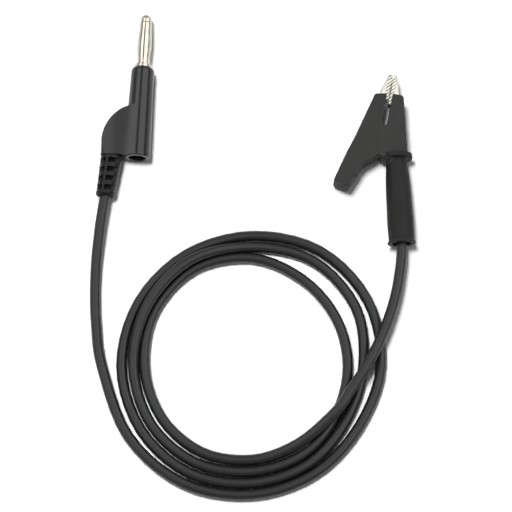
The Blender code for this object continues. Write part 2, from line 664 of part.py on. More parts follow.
def make_spring(finish, pivot):
    """A torsion spring round the rivet, with a leg in each jaw's tail that pushes the tails apart."""
    leg = JAW_BACK - JAW_SHEET - SPRING_WIRE_RADIUS - FIT
    fixed_end = along_handle(leg, -SPRING_LEG_DROP)
    lever_end = along_lever(-leg, -SPRING_LEG_DROP)
    swing = math.acos(SPRING_RADIUS / fixed_end.length)
    start = math.atan2(fixed_end.y, fixed_end.x) + swing
    end = math.atan2(lever_end.y, lever_end.x) % math.tau - swing + SPRING_TURNS * math.tau
    height = SPRING_PITCH * (end - start) / math.tau
    steps = 26
    points = [(fixed_end.x, fixed_end.y, -height / 2)]
    for k in range(steps + 1):
        a = start + (end - start) * k / steps
        points.append((SPRING_RADIUS * math.cos(a), SPRING_RADIUS * math.sin(a), height * (k / steps - 0.5)))
    points.append((lever_end.x, lever_end.y, height / 2))
    wire("jaw_spring", points, SPRING_WIRE_RADIUS, finish, pivot, resolution=1)


def make_clip_conductor(finish, clip):
    path = [(0.0, 0.0, 0.0), (0.0, CLIP_STRAND_LENGTH, 0.0)]
    strands = wire("clip_conductor", path, STRAND_RADIUS, finish, clip)
    strands.location = (STRAND_X, CABLE_IN_HANDLE + FIT, 0.0)


def boot_outline():
    """The boot's flat plate from the pivot: two arms at the slot, a lever, and a V notch by the handle."""
    step = BOOT_FRONT + BOOT_FRONT_STEP
    lever_corner = (step - BOOT_BACK * math.sin(2 * HALF_ANGLE)) / math.cos(2 * HALF_ANGLE)
    lever_end = -LEVER_LENGTH - FIT - BOOT_WALL
    lever_edge = JAW_BACK - LEVER_DEPTH - FIT - BOOT_WALL
    foot = GUARD_THICKNESS / 2 - GUARD_DROP
    notch_foot = -GUARD_DROP - NOTCH_FOOT_DROP
    return [
        along_handle(BOOT_BACK, foot), along_handle(BOOT_BACK, BOOT_FRONT - BOOT_CORNER),
        along_handle(BOOT_BACK - BOOT_CORNER / 2, BOOT_FRONT), along_handle(HANDLE_OFFSET, BOOT_FRONT),
        along_handle(HANDLE_OFFSET - 2 * BOOT_FRONT_STEP, step), along_lever(-BOOT_BACK, lever_corner),
        along_lever(-BOOT_BACK, lever_end), along_lever(-lever_edge, lever_end), along_lever(*NOTCH_KNEE),
        along_handle(*NOTCH_APEX), along_handle(NOTCH_FOOT_X, notch_foot),
        along_handle(HANDLE_OFFSET, notch_foot), along_handle(HANDLE_OFFSET, foot)]


def make_boot(finish, clip, pivot):
    """One soft moulding: a hollow plate round the jaws, a pocket on the lever and a tubular handle."""
    boot = plate("clip_boot", boot_outline(), BOOT_HALF, finish, pivot, rounding=BOOT_EDGE)
    guard_top = GUARD_HEIGHT + GUARD_THICKNESS
    neck = HANDLE_BORE + HANDLE_WALL
    mouth = neck + HANDLE_FLARE
    lip = mouth + HANDLE_LIP
    handle = turned("handle_solid", [
        (0.0, 0.0), (lip, 0.0), (lip, HANDLE_LIP_LENGTH), (mouth, HANDLE_LIP_LENGTH + HANDLE_LIP_RUN),
        (neck, GUARD_HEIGHT), (GUARD_RADIUS, GUARD_HEIGHT), (GUARD_RADIUS, guard_top), (0.0, guard_top)],
        None, clip)
    combine(boot, handle, "UNION")

    floor = GUARD_THICKNESS - GUARD_DROP - FIT
    reach = BOOT_FRONT + 2 * OVERRUN
    cavity = plate("boot_cavity", [
        along_handle(CAVITY_BACK, reach), along_handle(CAVITY_BACK, floor),
        along_handle(HANDLE_OFFSET - HANDLE_BORE - FIT, floor),
        along_handle(NOTCH_APEX[0], NOTCH_APEX[1] + NOTCH_WALL),
        along_lever(NOTCH_KNEE[0] - BOOT_WALL, -CAVITY_ON_LEVER), along_lever(-CAVITY_BACK, -CAVITY_ON_LEVER),
        along_lever(-CAVITY_BACK, reach)], CAVITY_HALF, parent=pivot)
    pocket_edge = JAW_BACK - LEVER_DEPTH - FIT
    pocket_back = JAW_BACK + POCKET_GAP
    pocket = plate("lever_pocket", [
        along_lever(-pocket_back, -LEVER_LENGTH - FIT), along_lever(-pocket_edge, -LEVER_LENGTH - FIT),
        along_lever(POCKET_FLARE - pocket_edge, -POCKET_MOUTH), along_lever(-pocket_back, -POCKET_MOUTH)],
        INNER_EAR_HALF + POCKET_GAP, parent=pivot)
    bore = turned("handle_bore", [
        (0.0, -OVERRUN), (MOUTH_RADIUS, -OVERRUN), (MOUTH_RADIUS, MOUTH_DEPTH),
        (HANDLE_BORE, MOUTH_DEPTH + FIT), (HANDLE_BORE, guard_top + FIT), (0.0, guard_top + FIT)], None, clip)
    slot_end = arc((0.0, SLOT_BOTTOM), SLOT_HALF_WIDTH, 180, 360, SLOT_END_STEPS)
    slot_points = slot_end + [(SLOT_HALF_WIDTH, reach), (-SLOT_HALF_WIDTH, reach)]
    slot = plate("boot_slot", [along_bite(u, v) for u, v in slot_points], BOOT_HALF + OVERRUN, parent=pivot)
    for cutter in (cavity, pocket, bore, slot):
        combine(boot, cutter, "DIFFERENCE")


# Cable

def smooth_point(points, place):
    """The smooth curve through the points, at a place counted in points."""
    i = min(int(place), len(points) - 2)
    t = place - i
    here, there = points[i], points[i + 1]
    before = points[i - 1] if i else 2 * here - there
    after = points[i + 2] if i + 2 < len(points) else 2 * there - here
    return 0.5 * (2 * here + (there - before) * t + (2 * before - 5 * here + 4 * there - after) * t ** 2
                  + (3 * here - before - 3 * there + after) * t ** 3)


def turn_points():
    """The loose turns' own points, one for each step of bearing, laid on the surface and on each other."""
    points = []
    for k, radius in enumerate(TURN_RADII):
        bearing = FIRST_BEARING + k * BEARING_STEP
        a = math.radians(bearing)
        points.append(Vector((TURNS_MIDDLE[0] + radius * math.sin(a), TURNS_MIDDLE[1] + radius * math.cos(a),
                              RAISED.get(bearing, CABLE_RADIUS))))
    return points


def end_frame(place, height, turn):
    return Matrix.Translation((*place, height)) @ Matrix.Rotation(math.radians(turn), 4, "Z")


def cable_route():
    """From inside the handle, over and round the loose turns, to the end of the strain relief."""
    clip = end_frame(CLIP_PLACE, GUARD_RADIUS, CLIP_TURN)
    plug = end_frame(PLUG_PLACE, BARREL_REAR_RADIUS, PLUG_TURN)
    start = [clip @ Vector((0.0, CABLE_IN_HANDLE, 0.0)), clip @ Vector((0.0, 0.0, 0.0))]
    start += [Vector(point) for point in CLIP_TAIL]
    turns = turn_points()
    relief_end = -RELIEF_LENGTH - FIT
    finish = [Vector(point) for point in PLUG_TAIL]
    finish.append(plug @ Vector((relief_centre(relief_end), relief_end, 0.0)))
    points = start + turns + finish
    step = SAMPLE_DEGREES / BEARING_STEP
    samples = int((len(turns) - 1) / step) + 1
    places = [*range(len(start)), *[len(start) + k * step for k in range(samples)],
              *range(len(start) + len(turns), len(points))]
    route = [smooth_point(points, place) for place in places]
    return [Vector((point.x, point.y, max(point.z, CABLE_RADIUS))) for point in route]


def main():
    clear_scene()
    gloss_black = make_finish("gloss_black_plastic", (0.018, 0.018, 0.02), 0.22)
    matt_black = make_finish("matt_black_pvc", (0.035, 0.034, 0.033), 0.62)
    cable_black = make_finish("cable_black_pvc", (0.016, 0.016, 0.017), 0.38)
    nickel = make_finish("nickel_plate", (0.66, 0.63, 0.58), 0.2, 1.0)
    brass = make_finish("turned_brass", (0.72, 0.56, 0.3), 0.25, 1.0)
    steel = make_finish("plated_steel", (0.62, 0.61, 0.59), 0.28, 1.0)
    spring_steel = make_finish("spring_steel", (0.34, 0.34, 0.35), 0.35, 1.0)
    copper = make_finish("copper_strands", (0.72, 0.36, 0.2), 0.35, 1.0)

    plug = frame_empty("plug_frame", PLUG_PLACE, BARREL_REAR_RADIUS, PLUG_TURN)
    make_housing(gloss_black, plug)
    make_relief(gloss_black, plug)
    make_socket_body(brass, plug)
    make_pin(nickel, plug)
    make_cage(nickel, plug)
    make_plug_conductor(copper, plug)

    clip = frame_empty("clip_frame", CLIP_PLACE, GUARD_RADIUS, CLIP_TURN)
    pivot = frame_empty("pivot_frame", (-HANDLE_OFFSET, PIVOT_HEIGHT), 0.0, 0.0)
    pivot.parent = clip
    make_fixed_jaw(steel, pivot)
    make_moving_jaw(steel, pivot)
    make_rivet(steel, pivot)
    make_spring(spring_steel, pivot)
    make_clip_conductor(copper, clip)
    make_boot(matt_black, clip, pivot)

    wire("cable", cable_route(), CABLE_RADIUS, cable_black, None)


main()
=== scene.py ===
"""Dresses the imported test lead: finer forms, its finishes, and a plain white stage with soft light.

Metres throughout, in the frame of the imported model. The plug is drawn along the Y axis of its own frame
from its rear face, and the clip from the mouth of its handle.
"""

import math

import bmesh
import bpy
from mathutils import Matrix, Vector


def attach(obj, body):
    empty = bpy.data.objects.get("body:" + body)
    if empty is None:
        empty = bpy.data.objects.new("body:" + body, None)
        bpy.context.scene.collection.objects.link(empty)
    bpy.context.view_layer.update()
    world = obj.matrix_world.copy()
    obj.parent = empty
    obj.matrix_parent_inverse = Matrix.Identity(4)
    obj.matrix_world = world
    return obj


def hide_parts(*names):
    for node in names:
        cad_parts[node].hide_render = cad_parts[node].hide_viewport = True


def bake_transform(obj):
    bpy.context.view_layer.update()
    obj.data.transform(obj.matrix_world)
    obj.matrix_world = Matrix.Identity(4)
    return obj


bl_info = {
    "name": "Test Lead Dresser",
    "version": (1, 0, 0),
    "blender": (4, 5, 0),
    "location": "View3D > Sidebar > Test Lead",
    "description": "Builds the finished look of a test lead round its packed model",
    "category": "Object",
}

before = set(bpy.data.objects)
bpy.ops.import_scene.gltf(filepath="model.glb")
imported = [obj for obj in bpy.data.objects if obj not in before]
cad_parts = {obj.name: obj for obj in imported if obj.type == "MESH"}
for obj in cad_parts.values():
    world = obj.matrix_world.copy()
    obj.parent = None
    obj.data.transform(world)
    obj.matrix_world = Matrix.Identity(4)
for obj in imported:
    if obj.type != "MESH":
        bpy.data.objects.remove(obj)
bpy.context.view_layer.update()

PLUG = Matrix.Translation((-0.03864, -0.01023, 0.00425)) @ Matrix.Rotation(math.radians(-2.68), 4, "Z")
CLIP = Matrix.Translation((0.0466, -0.03914, 0.0052)) @ Matrix.Rotation(math.radians(2.3), 4, "Z")
HANDLE_OFFSET = 0.00445
BITE_TURN = math.radians(13.5)
LEVER_TURN = 2 * BITE_TURN

# Plug, from its rear face along +Y
RELIEF_PLACE = -0.0082
RELIEF_LEAN = 0.095
RELIEF_END = -0.0133
RELIEF_ROOT = 0.00355
RELIEF_TAPER = 0.0006
RELIEF_CORE = 0.0018
RELIEF_STEM = 0.006
RELIEF_STEM_RADIUS = 0.0024
SLOT_FIRST = -0.0010
SLOT_PITCH = 0.003
SLOT_LENGTH = 0.0016
# The relief's walls: the middle and half width of each, in degrees from +X towards +Z
RELIEF_WALLS = ((107.0, 7.0), (13.0, 27.0))
WALL_ENDS = (-0.0006, -0.0122)
WIRE_HEIGHT = 0.0102
WEB_STRAIGHT = 0.0048
WEB_ARC_RADIUS = 0.013
WEB_ARC_END = 100
# (x, height) of the web's face at WEB_MIDDLE, from beyond its rim to inside the barrel
WEB_FACE = (
    (-0.0137, 0.00235), (-0.01175, 0.00275), (-0.0098, 0.00312), (-0.0080, 0.00336), (-0.0063, 0.00344),
    (-0.0048, 0.00344), (-0.0036, 0.00350), (-0.0026, 0.00362), (-0.0019, 0.00376), (-0.0013, 0.00390),
    (-0.0006, 0.00404), (0.0005, 0.0040), (0.0015, 0.0039),
)
WEB_MIDDLE = 0.0088
WEB_HOLLOW = (-0.006, -0.0013)
WEB_COLUMNS = [0.0004 * k - 0.0114 for k in range(29)]
WEB_ROWS = [0.0025 * k for k in range(1, 7)]
BARREL_SLOPE = 0.017
COLLAR_FRONT = 0.03225
CAGE_SEAT = 0.03175
CAGE_START = 0.03205
CAGE_END = 0.0466
PIN_BORE_END = 0.02505

# Clip, from the handle's mouth and from the pivot along +Y
PIVOT_HEIGHT = 0.0355
PIVOT = CLIP @ Matrix.Translation((-HANDLE_OFFSET, PIVOT_HEIGHT, 0.0))
GUARD_UNDER = 0.0281
GUARD_TOP = 0.0298
LEVER_END = -0.0192
# The grip lines' pitch, slant and reach from the bite line, for their bumps and their painted shade
GRIP_PITCH = 0.0013
GRIP_SLANT = 1.1
GRIP_REACH = 0.0017
HANDLE_BELLY = (
    (0.00412, 0.003), (0.00420, 0.006), (0.00418, 0.009), (0.00412, 0.012), (0.00403, 0.016),
    (0.00391, 0.020), (0.00377, 0.0225), (0.00355, 0.0252),
)
JAW_BACK = 0.00665
CAVITY_BACK = 0.00695

# Cable: the middle of its turns, their radii at even bearings, where they lie on others, and both ends
TURNS_MIDDLE = Vector((-0.00126, -0.07812, 0.0))
FIRST_BEARING = 120
BEARING_STEP = 30
IN_HANDLE = 0.012
BEFORE_RELIEF = 0.0003
TURN_RADII = (
    0.0302, 0.0287, 0.0297, 0.0315, 0.0328, 0.0340, 0.0358, 0.0366, 0.0351, 0.0324, 0.0309, 0.0303,
    0.0306, 0.0322, 0.0333, 0.0353, 0.0367, 0.0375, 0.0383, 0.0392, 0.0387, 0.0394, 0.0381, 0.0352,
    0.03425, 0.0357, 0.0369, 0.0390, 0.0403, 0.0413, 0.0416, 0.0420, 0.0425, 0.0434, 0.0426, 0.0408,
    0.0387, 0.0392, 0.0405, 0.0427, 0.0447, 0.0475,
)
RAISED = {120: 0.0053, 150: 0.0031, 630: 0.0026, 660: 0.0044, 690: 0.0043, 720: 0.0022}
CLIP_TAIL = (
    (0.0460, -0.0471, 0.0052), (0.0439, -0.0576, 0.0053), (0.0402, -0.0680, 0.0054),
    (0.0352, -0.0781, 0.0054), (0.0294, -0.0868, 0.0054),
)
PLUG_TAIL = (
    (-0.0509, -0.0640, 0.0017), (-0.0514, -0.0540, 0.0019), (-0.0512, -0.0445, 0.0027),
    (-0.0505, -0.0365, 0.0036), (-0.0497, -0.0295, 0.00415),
)

# Stage: where the camera aims, the floor, the surroundings as reflections show them, and the lights
AIM = (0.0, -0.04185, 0.0)
FLOOR_HALF = 3.0
FLOOR_LIFT = 0.42
HORIZON = 0.8
OVERHEAD = 0.45
FADE = (0.05, 0.3)
FILL = 0.2
KEY_PLACE = (-0.165, 0.10, 0.93)
KEY_SIZE = (0.21, 0.21)
PANELS = (
    ("left_panel", (-0.54, 0.22, 0.80), (1.3, 0.62), 4.1),
    ("right_panel", (0.50, 0.22, 0.79), (1.3, 1.00), 6.5),
)


# Sizes and colours that a user would change

def number_setting(name, description, default, **kind):
    return bpy.props.FloatProperty(name=name, description=description, default=default, **kind)


def size_setting(name, description, default):
    return number_setting(name, description, default, unit="LENGTH")


def colour_setting(name, description, default):
    return bpy.props.FloatVectorProperty(
        name=name, description=description, default=default, subtype="COLOR", size=3, min=0.0, max=1.0)


class LeadCableSettings(bpy.types.PropertyGroup):
    radius: size_setting("Radius", "Half the thickness of the insulation", 0.0017)
    length: size_setting("Length", "Length of the cable from the clip to the strain relief", 0.922)
    steps: bpy.props.IntProperty(
        name="Steps", description="Points between two points of the route", default=5, min=2, max=12)
    into_relief: size_setting("Into relief", "How far the cable goes into the strain relief", 0.0012)


class LeadPlugSettings(bpy.types.PropertyGroup):
    barrel_length: size_setting("Barrel length", "Length of the moulded barrel", 0.03075)
    rear_radius: size_setting("Rear radius", "Radius of the barrel at its rear face", 0.00425)
    front_radius: size_setting("Front radius", "Radius of the barrel behind its nose", 0.00375)
    web_reach: size_setting("Web reach", "How far the flat web stands out from the axis", 0.01175)
    web_half: size_setting("Web half thickness", "Half the thickness of the web's blank", 0.00365)
    web_round: size_setting("Web edge", "Rounding of the web's outer edge", 0.0020)
    leaf_bow: size_setting("Leaf bow", "How far the leaves of the pin's sleeve stand out", 0.0003)


class LeadClipSettings(bpy.types.PropertyGroup):
    cover_half: size_setting("Cover half thickness", "Half the thickness of the soft cover", 0.00345)
    cover_edge: size_setting("Cover edge", "Rounding along the cover's rims", 0.0005)
    handle_mouth: size_setting("Handle mouth", "Radius of the handle beside its lip", 0.00408)
    handle_neck: size_setting("Handle neck", "Radius of the handle under its guard ring", 0.00343)
    guard_radius: size_setting("Guard ring", "Radius of the guard ring", 0.0052)
    spring_wire: size_setting("Spring wire", "Radius of the spring's wire", 0.00025)


class LeadFinishSettings(bpy.types.PropertyGroup):
    gloss_black: colour_setting("Gloss black", "Colour of the plug's moulding", (0.012, 0.012, 0.0135))
    soft_black: colour_setting("Soft black", "Colour of the clip's cover", (0.0145, 0.0142, 0.0138))
    cable_black: colour_setting("Cable black", "Colour of the insulation", (0.010, 0.010, 0.0108))
    nickel: colour_setting("Nickel", "Colour of the plated pin", (0.60, 0.565, 0.49))
    steel: colour_setting("Steel", "Colour of the plated jaws", (0.54, 0.53, 0.47))
    spring_steel: colour_setting("Spring steel", "Colour of the spring's wire", (0.30, 0.30, 0.31))
    copper: colour_setting("Copper", "Colour of the bare strands", (0.76, 0.37, 0.20))


class LeadStageSettings(bpy.types.PropertyGroup):
    floor_white: number_setting("Floor white", "Reflectance of the floor", 0.8, min=0.0, max=1.0)
    distance: size_setting("Camera distance", "From the camera to the surface", 0.53)
    elevation: number_setting(
        "Camera elevation", "Angle of the camera above the surface", math.radians(76.0), subtype="ANGLE")
    lens: number_setting("Lens", "Focal length on a 36 mm sensor, in millimetres", 115.55)
    key: number_setting("Key", "Power of the soft box overhead, in watts", 7.1, min=0.0)
    panels: number_setting("Panels", "Level of the long panels that glossy faces show", 1.0, min=0.0)


# Finishes

def wired(tree, kind, inputs, **settings):
    """A new node of a tree, with its settings, and its inputs each set to a value or joined to a socket."""
    node = tree.nodes.new(kind)
    for name, value in settings.items():
        setattr(node, name, value)
    for name, value in inputs.items():
        if isinstance(value, bpy.types.NodeSocket):
            tree.links.new(value, node.inputs[name])
        else:
            node.inputs[name].default_value = value
    return node


def spread(tree, source, low, high, start, end):
    """The source from start to end, spread over low to high."""
    return wired(tree, "ShaderNodeMapRange", {
        "Value": source, "From Min": start, "From Max": end, "To Min": low, "To Max": high}).outputs["Result"]


def reckoned(tree, operation, first, second):
    """One sum of two values, each a number or a socket."""
    return wired(tree, "ShaderNodeMath", {0: first, 1: second}, operation=operation).outputs["Value"]


class Recipe:
    """A finish in the making: its colour from the settings, its material, its nodes and its shader."""

    def __init__(self, name, setting, metallic=0.0):
        self.colour = tuple(getattr(bpy.context.scene.lead_finishes, setting))
        self.material = bpy.data.materials.new(name)
        self.material.use_nodes = True
        self.material.diffuse_color = (*self.colour, 1.0)
        self.tree = self.material.node_tree
        self.shader = self.tree.nodes["Principled BSDF"]
        self.shader.inputs["Base Color"].default_value = (*self.colour, 1.0)
        self.shader.inputs["Metallic"].default_value = metallic
        self.where = self.tree.nodes.new("ShaderNodeTexCoord").outputs["Object"]

    def give(self, name, socket):
        self.tree.links.new(socket, self.shader.inputs[name])

    def tone(self, *factors):
        """The finish's colour times one factor, or times one for each channel."""
        factors *= 3 // len(factors)
        return tuple(min(1.0, channel * factor) for channel, factor in zip(self.colour, factors))

    def noise(self, scale, detail=3.0, stretch=None, roughness=0.5):
        """A noise over the object, in features per metre, stretched along its axes where asked."""
        place = self.where
        if stretch:
            place = wired(self.tree, "ShaderNodeMapping", {"Vector": place, "Scale": stretch}).outputs["Vector"]
        return wired(self.tree, "ShaderNodeTexNoise", {
            "Vector": place, "Scale": scale, "Detail": detail, "Roughness": roughness}).outputs["Fac"]

    def span(self, source, low, high, start=0.3, end=0.7):
        return spread(self.tree, source, low, high, start, end)

    def math(self, operation, first, second):
        return reckoned(self.tree, operation, first, second)

    def along(self, origin, direction):
        """How far a point of the object lies from an origin along a direction."""
        node = wired(self.tree, "ShaderNodeVectorMath", {0: self.where, 1: direction}, operation="DOT_PRODUCT")
        return self.math("SUBTRACT", node.outputs["Value"], Vector(origin).dot(direction))

    def colours(self, source, stops):
        """A colour ramp over the source, onto the base colour."""
        ramp = wired(self.tree, "ShaderNodeValToRGB", {"Fac": source})
        elements = ramp.color_ramp.elements
        for element, (place, colour) in zip(elements, (stops[0], stops[-1])):
            element.position = place
            element.color = (*colour, 1.0)
        for place, colour in stops[1:-1]:
            elements.new(place).color = (*colour, 1.0)
        self.give("Base Color", ramp.outputs["Color"])
        return ramp.outputs["Color"]

    def laid_over(self, under, share, colour):
        """A colour laid over another by a share, onto the base colour."""
        mix = wired(self.tree, "ShaderNodeMix", {"Factor": share, "A": under, "B": (*colour, 1.0)},
                    data_type="RGBA")
        self.give("Base Color", mix.outputs["Result"])

    def rough(self, source, low, high, start=0.3, end=0.7):
        self.give("Roughness", self.span(source, low, high, start, end))

    def relief(self, layers):
        """Bumps laid on each other: (source, strength, depth) each."""
        under = {}
        for source, strength, depth in layers:
            bump = wired(self.tree, "ShaderNodeBump", {
                "Height": source, "Strength": strength, "Distance": depth, **under})
            under = {"Normal": bump.outputs["Normal"]}
        self.give("Normal", under["Normal"])


def gloss_black_finish():
    """Polished moulded plastic: deep black, flow mottle, hair scratches, and a softer polish on the web."""
    recipe = Recipe("moulded_gloss_black", "gloss_black")
    mottle = recipe.noise(420, 4.0)
    dust = recipe.noise(9000, 2.0)
    scratch = recipe.noise(1500, 5.0, stretch=(9.0, 0.35, 2.0), roughness=0.7)
    recipe.colours(dust, [(0.3, recipe.tone(0.85)), (0.62, recipe.colour), (0.8, recipe.tone(1.9))])
    aside = recipe.along(Vector(), Vector((-1.0, 0.0, 0.0)))
    polish = recipe.math("ADD", recipe.span(mottle, 0.15, 0.21), recipe.span(aside, 0.0, 0.2, 0.0016, 0.0046))
    recipe.give("Roughness", polish)
    recipe.relief([(mottle, 0.04, 0.00002), (scratch, 0.03, 0.000004), (dust, 0.03, 0.000002)])
    return recipe.material


def satin_black_finish():
    """The relief's moulding: satin outside, matt down in its slots, and darker there with painted shade."""
    recipe = Recipe("moulded_satin_black", "gloss_black")
    recipe.shader.inputs["Specular IOR Level"].default_value = 0.2
    across, along, up = (recipe.along(Vector(), Vector(axis)) for axis in Matrix.Identity(3))
    aside = recipe.math("SUBTRACT", recipe.math("SUBTRACT", across, RELIEF_PLACE),
                        recipe.math("MULTIPLY", along, RELIEF_LEAN))
    out = recipe.math("SQRT", recipe.math("ADD", recipe.math("MULTIPLY", aside, aside),
                                          recipe.math("MULTIPLY", up, up)), 0.0)
    dust = recipe.noise(7000, 3.0)
    # painted shade: the colour darkens towards the relief's axis, down in its slots, with dust laid on top
    slot_shade_and_dust = recipe.math("ADD", recipe.span(out, 0.0, 0.8, 0.0020, 0.0029), recipe.span(dust, 0.0, 0.2))
    recipe.colours(slot_shade_and_dust, [(0.0, recipe.tone(0.25)), (0.55, recipe.tone(0.6)), (0.85, recipe.colour),
                          (1.0, recipe.tone(1.35))])
    recipe.rough(out, 0.8, 0.32, 0.0022, 0.0029)
    recipe.relief([(dust, 0.08, 0.000006)])
    return recipe.material


def soft_black_finish():
    """Soft PVC: even charcoal with a fine grain, and its rims made a little paler with a painted highlight."""
    recipe = Recipe("soft_black_pvc", "soft_black")
    recipe.shader.inputs["Specular IOR Level"].default_value = 0.25
    grain = recipe.noise(7000, 3.0, roughness=0.6)
    patch = recipe.noise(260, 4.0)
    edges = recipe.tree.nodes.new("ShaderNodeNewGeometry").outputs["Pointiness"]
    # painted highlight: a paler colour laid on the cover's sharper rims
    rim_highlight = recipe.span(edges, 0.0, 1.0, 0.5, 0.62)
    base = recipe.colours(patch, [(0.25, recipe.tone(0.88)), (0.75, recipe.tone(1.1))])
    recipe.laid_over(base, rim_highlight, recipe.tone(2.4))
    recipe.rough(patch, 0.55, 0.7)
    recipe.relief([(patch, 0.2, 0.00006), (grain, 0.35, 0.000015)])
    return recipe.material


def cable_finish():
    """Extruded PVC: satin black with faint waves from the core and fine handling marks."""
    recipe = Recipe("cable_black_pvc_satin", "cable_black")
    wave = recipe.noise(160, 2.0)
    marks = recipe.noise(3800, 4.0, roughness=0.65)
    recipe.colours(marks, [(0.3, recipe.tone(0.8)), (0.7, recipe.tone(1.35))])
    recipe.rough(marks, 0.3, 0.44)
    recipe.relief([(wave, 0.3, 0.00012), (marks, 0.15, 0.00001)])
    return recipe.material


def nickel_finish():
    """Turned and plated brass: bright, slightly warm, with fine rings from the lathe."""
    recipe = Recipe("bright_nickel", "nickel", 1.0)
    rings = recipe.noise(900, 4.0, stretch=(0.2, 26.0, 0.2))
    haze = recipe.noise(500, 4.0)
    recipe.colours(haze, [(0.3, recipe.tone(0.88)), (0.7, recipe.tone(1.08))])
    recipe.rough(haze, 0.14, 0.26)
    recipe.relief([(rings, 0.2, 0.000006), (haze, 0.1, 0.00002)])
    return recipe.material


def steel_finish():
    """Folded, plated sheet: bright, with rolling lines, tumbled scratches, and bumped grip lines by the bite in
    painted shade.
    """
    recipe = Recipe("plated_sheet_steel", "steel", 1.0)
    tumble = recipe.noise(2600, 5.0, roughness=0.65)
    rolling = recipe.noise(1800, 3.0, stretch=(8.0, 0.4, 8.0))
    tarnish = recipe.noise(600, 5.0)
    plain = recipe.colours(tarnish, [(0.25, recipe.tone(0.8, 0.77, 0.7)),
                                     (0.42, recipe.tone(0.97)), (0.75, recipe.tone(1.08))])
    bite = PIVOT.to_3x3() @ Matrix.Rotation(-BITE_TURN, 3, "Z")
    right = recipe.along(PIVOT.translation, bite @ Vector((1.0, 0.0, 0.0)))
    beside = recipe.math("ABSOLUTE", right, 0.0)
    row = recipe.math("SUBTRACT", recipe.along(PIVOT.translation, bite @ Vector((0.0, 1.0, 0.0))),
                      recipe.math("MULTIPLY", right, GRIP_SLANT))
    wave = recipe.math("SINE", recipe.math("MULTIPLY", row, math.tau / GRIP_PITCH), 0.0)
    # painted shade: dark lines along the bite stand in for the shade between the teeth, and are lighter to the
    # right of the bite line
    grip_lines_and_shade = recipe.math("MULTIPLY", recipe.span(wave, 0.0, 1.0, 0.15, 0.75),
                       recipe.span(beside, 1.0, 0.0, GRIP_REACH * 0.7, GRIP_REACH))
    grip_lines_and_shade = recipe.math("MULTIPLY", grip_lines_and_shade, recipe.span(right, 1.0, 0.55, -0.0002, 0.0008))
    recipe.laid_over(plain, grip_lines_and_shade, recipe.tone(0.24))
    recipe.rough(tumble, 0.14, 0.24)
    recipe.relief([(rolling, 0.08, 0.000006), (tumble, 0.08, 0.000006), (grip_lines_and_shade, 0.5, -0.00006)])
    return recipe.material


def spring_steel_finish():
    """Drawn spring wire: dark, oiled, with lines along the wire."""
    recipe = Recipe("oiled_spring_wire", "spring_steel", 1.0)
    drawn = recipe.noise(6000, 4.0, stretch=(1.0, 1.0, 4.0))
    oil = recipe.noise(900, 3.0)
    recipe.colours(oil, [(0.3, recipe.tone(0.7)), (0.7, recipe.tone(1.2))])
    recipe.rough(oil, 0.22, 0.42)
    recipe.relief([(drawn, 0.25, 0.000006)])
    return recipe.material


def copper_finish():
    """Bare copper strands, dulled in places."""
    recipe = Recipe("bare_copper", "copper", 1.0)
    dull = recipe.noise(1400, 4.0)
    recipe.colours(dull, [(0.3, recipe.tone(0.6, 0.5, 0.5)), (0.65, recipe.colour)])
    recipe.rough(dull, 0.24, 0.48)
    recipe.relief([(dull, 0.15, 0.00001)])
    return recipe.material


# Ways of making a form

def added(name, data):
    """A new object in the scene."""
    thing = bpy.data.objects.new(name, data)
    bpy.context.collection.objects.link(thing)
    return thing


def piece(name, mesh, place, finish, smooth=38.0):
    """A named mesh object at a place in the model's frame, smooth where it is round."""
    thing = added(name, mesh)
    thing.matrix_world = place
    mesh.materials.clear()
    mesh.materials.append(finish)
    mesh.shade_smooth()
    mesh.set_sharp_from_angle(angle=math.radians(smooth))
    return thing


def opened(mesh):
    """A mesh as a loose form to work on."""
    bm = bmesh.new()
    bm.from_mesh(mesh)
    return bm


def closed(bm, mesh):
    """The mesh that a loose form is written to."""
    bm.to_mesh(mesh)
    bm.free()
    return mesh


def mesh_from(bm, name):
    """A new mesh from a loose form, with its faces turned outwards."""
    bmesh.ops.recalc_face_normals(bm, faces=bm.faces)
    return closed(bm, bpy.data.meshes.new(name))


def turned(name, profile, sides=72, ring=False, lean=0.0, place=0.0):
    """A mesh turned about Y from (radius, y) points, then leant and moved along X; a ring's profile closes."""
    bm = bmesh.new()
    points = [bm.verts.new((radius, y, 0.0)) for radius, y in profile]
    ends = points[1:] + points[:1] if ring else points[1:]
    edges = [bm.edges.new(pair) for pair in zip(points, ends)]
    bmesh.ops.spin(bm, geom=points + edges, axis=(0, 1, 0), cent=(0, 0, 0), angle=math.tau, steps=sides,
                   use_merge=True)
    bmesh.ops.remove_doubles(bm, verts=bm.verts, dist=0.0000005)
    for vert in bm.verts:
        vert.co.x += lean * vert.co.y
        vert.co.x += place
    return mesh_from(bm, name)


def skinned(sections):
    """A closed skin through sections with equal numbers of corners, and its corners section by section."""
    bm = bmesh.new()
    rings = [[bm.verts.new(corner) for corner in section] for section in sections]
    bm.faces.new(rings[0])
    bm.faces.new(rings[-1])
    for near, far in zip(rings, rings[1:]):
        for i in range(len(near)):
            j = (i + 1) % len(near)
            bm.faces.new((near[i], near[j], far[j], far[i]))
    return bm, rings


def plate(name, outline, half, rounding=0.0, segments=4, rounded=None):
    """A flat plate from an outline in XY, with the rims of all its sides or of the chosen ones rounded."""
    bm, rims = skinned([[(x, y, z) for x, y in outline] for z in (-half, half)])
    if rounding:
        count = len(outline)
        edges = [bm.edges.get((rim[i], rim[(i + 1) % count])) for rim in rims for i in rounded or range(count)]
        bmesh.ops.bevel(bm, geom=edges, offset=rounding, segments=segments, profile=0.5, affect="EDGES")
        bmesh.ops.connect_verts_nonplanar(bm, angle_limit=math.radians(0.5), faces=bm.faces)
    return mesh_from(bm, name)


